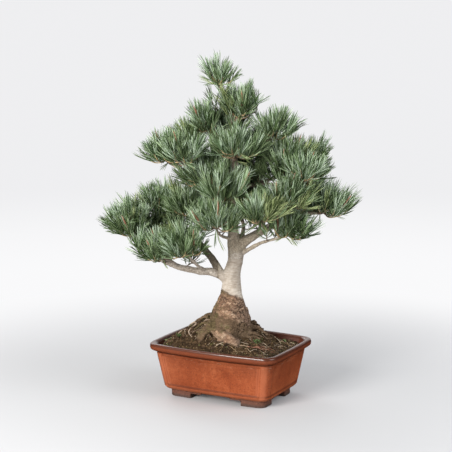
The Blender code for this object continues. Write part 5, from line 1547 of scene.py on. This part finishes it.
right, up, back = lookFrom(cameraPlan["azimuth"], cameraPlan["pitch"])
aim = plantShift + [0, 0, cameraPlan["aimUp"]] + right * cameraPlan["aimRight"]
camera = bpy.data.objects.new("camera", bpy.data.cameras.new("camera"))
bpy.context.scene.collection.objects.link(camera)
camera.data.sensor_width = 36.0
camera.data.lens = cameraPlan["focal"] / cameraPlan["frameWide"] * camera.data.sensor_width
camera.data.clip_start, camera.data.clip_end = 0.1, 60.0
camera.matrix_world = Matrix.Translation(Vector(aim + back * cameraPlan["far"])) @ Matrix(
    np.stack([right, up, back], 1).tolist()).to_4x4()
bpy.context.scene.camera = camera


def softLight(name, place, size, power, colour, target=(0.0, 0.0, 0.30)):
    lamp = bpy.data.lights.new(name, "AREA")
    lamp.shape, lamp.energy, lamp.color = "RECTANGLE", power, colour
    lamp.size, lamp.size_y = size
    made = bpy.data.objects.new(name, lamp)
    bpy.context.scene.collection.objects.link(made)
    made.location = place
    made.rotation_euler = (Vector(place) - Vector(target)).to_track_quat("Z", "Y").to_euler()


front = np.array([back[0], back[1], 0.0])
front /= np.linalg.norm(front)
softLight("key", -right * 1.45 + front * 1.85 + [0, 0, 0.95], (1.1, 1.1), 86, (1.0, 0.985, 0.955))
softLight("fill", right * 1.9 + front * 1.0 + [0, 0, 1.45], (1.5, 1.5), 33, (0.97, 0.985, 1.0), (0.0, 0.0, 0.42))
softLight("rim", -right * 1.0 - front * 2.0 + [0, 0, 1.9], (1.3, 1.3), 18, (1.0, 1.0, 1.0))
softLight("wall", -front * 2.6 + [0, 0, 0.86], (5.0, 1.5), 22, (1.0, 1.0, 1.0), (0.0, 0.0, 0.86))
world = bpy.data.worlds.new("studio")
world.use_nodes = True
world.node_tree.nodes["Background"].inputs["Color"].default_value = (0.96, 0.98, 1.0, 1.0)
world.node_tree.nodes["Background"].inputs["Strength"].default_value = 0.56
world.cycles_visibility.glossy = False  # the lights alone are mirrored in the glaze
bpy.context.scene.world = world
bpy.context.scene.view_settings.view_transform = "Standard"

backdropColour = (0.86, 0.86, 0.875)
backdropFinish = Finish("white backdrop", (0.0, 0.0, 0.0), Roughness=1.0, Specular_IOR_Level=0.0,
                        Emission_Color=(*backdropColour, 1.0), Emission_Strength=1.0)
dome = bmesh.new()
bmesh.ops.create_uvsphere(dome, u_segments=48, v_segments=24, radius=9.0)
bmesh.ops.reverse_faces(dome, faces=dome.faces)
backdropMesh = bpy.data.meshes.new("backdrop")
dome.to_mesh(backdropMesh)
dome.free()
backdropMesh.materials.append(backdropFinish.material)
backdrop = putObject("backdrop", backdropMesh)
backdrop.visible_diffuse = backdrop.visible_glossy = backdrop.visible_shadow = False  # the world lights the plant

floorFinish = Finish("pale floor", (0.56, 0.56, 0.57), Roughness=0.8, Specular_IOR_Level=0.0, Emission_Strength=1.0)
place = floorFinish.place()
reach = floorFinish.node("ShaderNodeVectorMath", {"operation": "LENGTH"}, {0: place}, "Value")
away = reach.between(0.32, 1.0)
glow = floorFinish.mix(reach.between(1.2, 3.2), (0.95, 0.95, 0.96), backdropColour)
floorFinish.give(Base_Color=floorFinish.mix(away, (0.56, 0.56, 0.57), (0.0, 0.0, 0.0)),
                 Emission_Color=floorFinish.mix(away, (0.0, 0.0, 0.0), glow))
around = [(8.9 * math.cos(k * math.pi / 24), 8.9 * math.sin(k * math.pi / 24), 0.0) for k in range(48)]
floorMesh = bpy.data.meshes.new("floor")
floorMesh.from_pydata(around, [], [list(range(48))])
floorMesh.materials.append(floorFinish.material)
floor = putObject("floor", floorMesh)
floor.visible_glossy = False
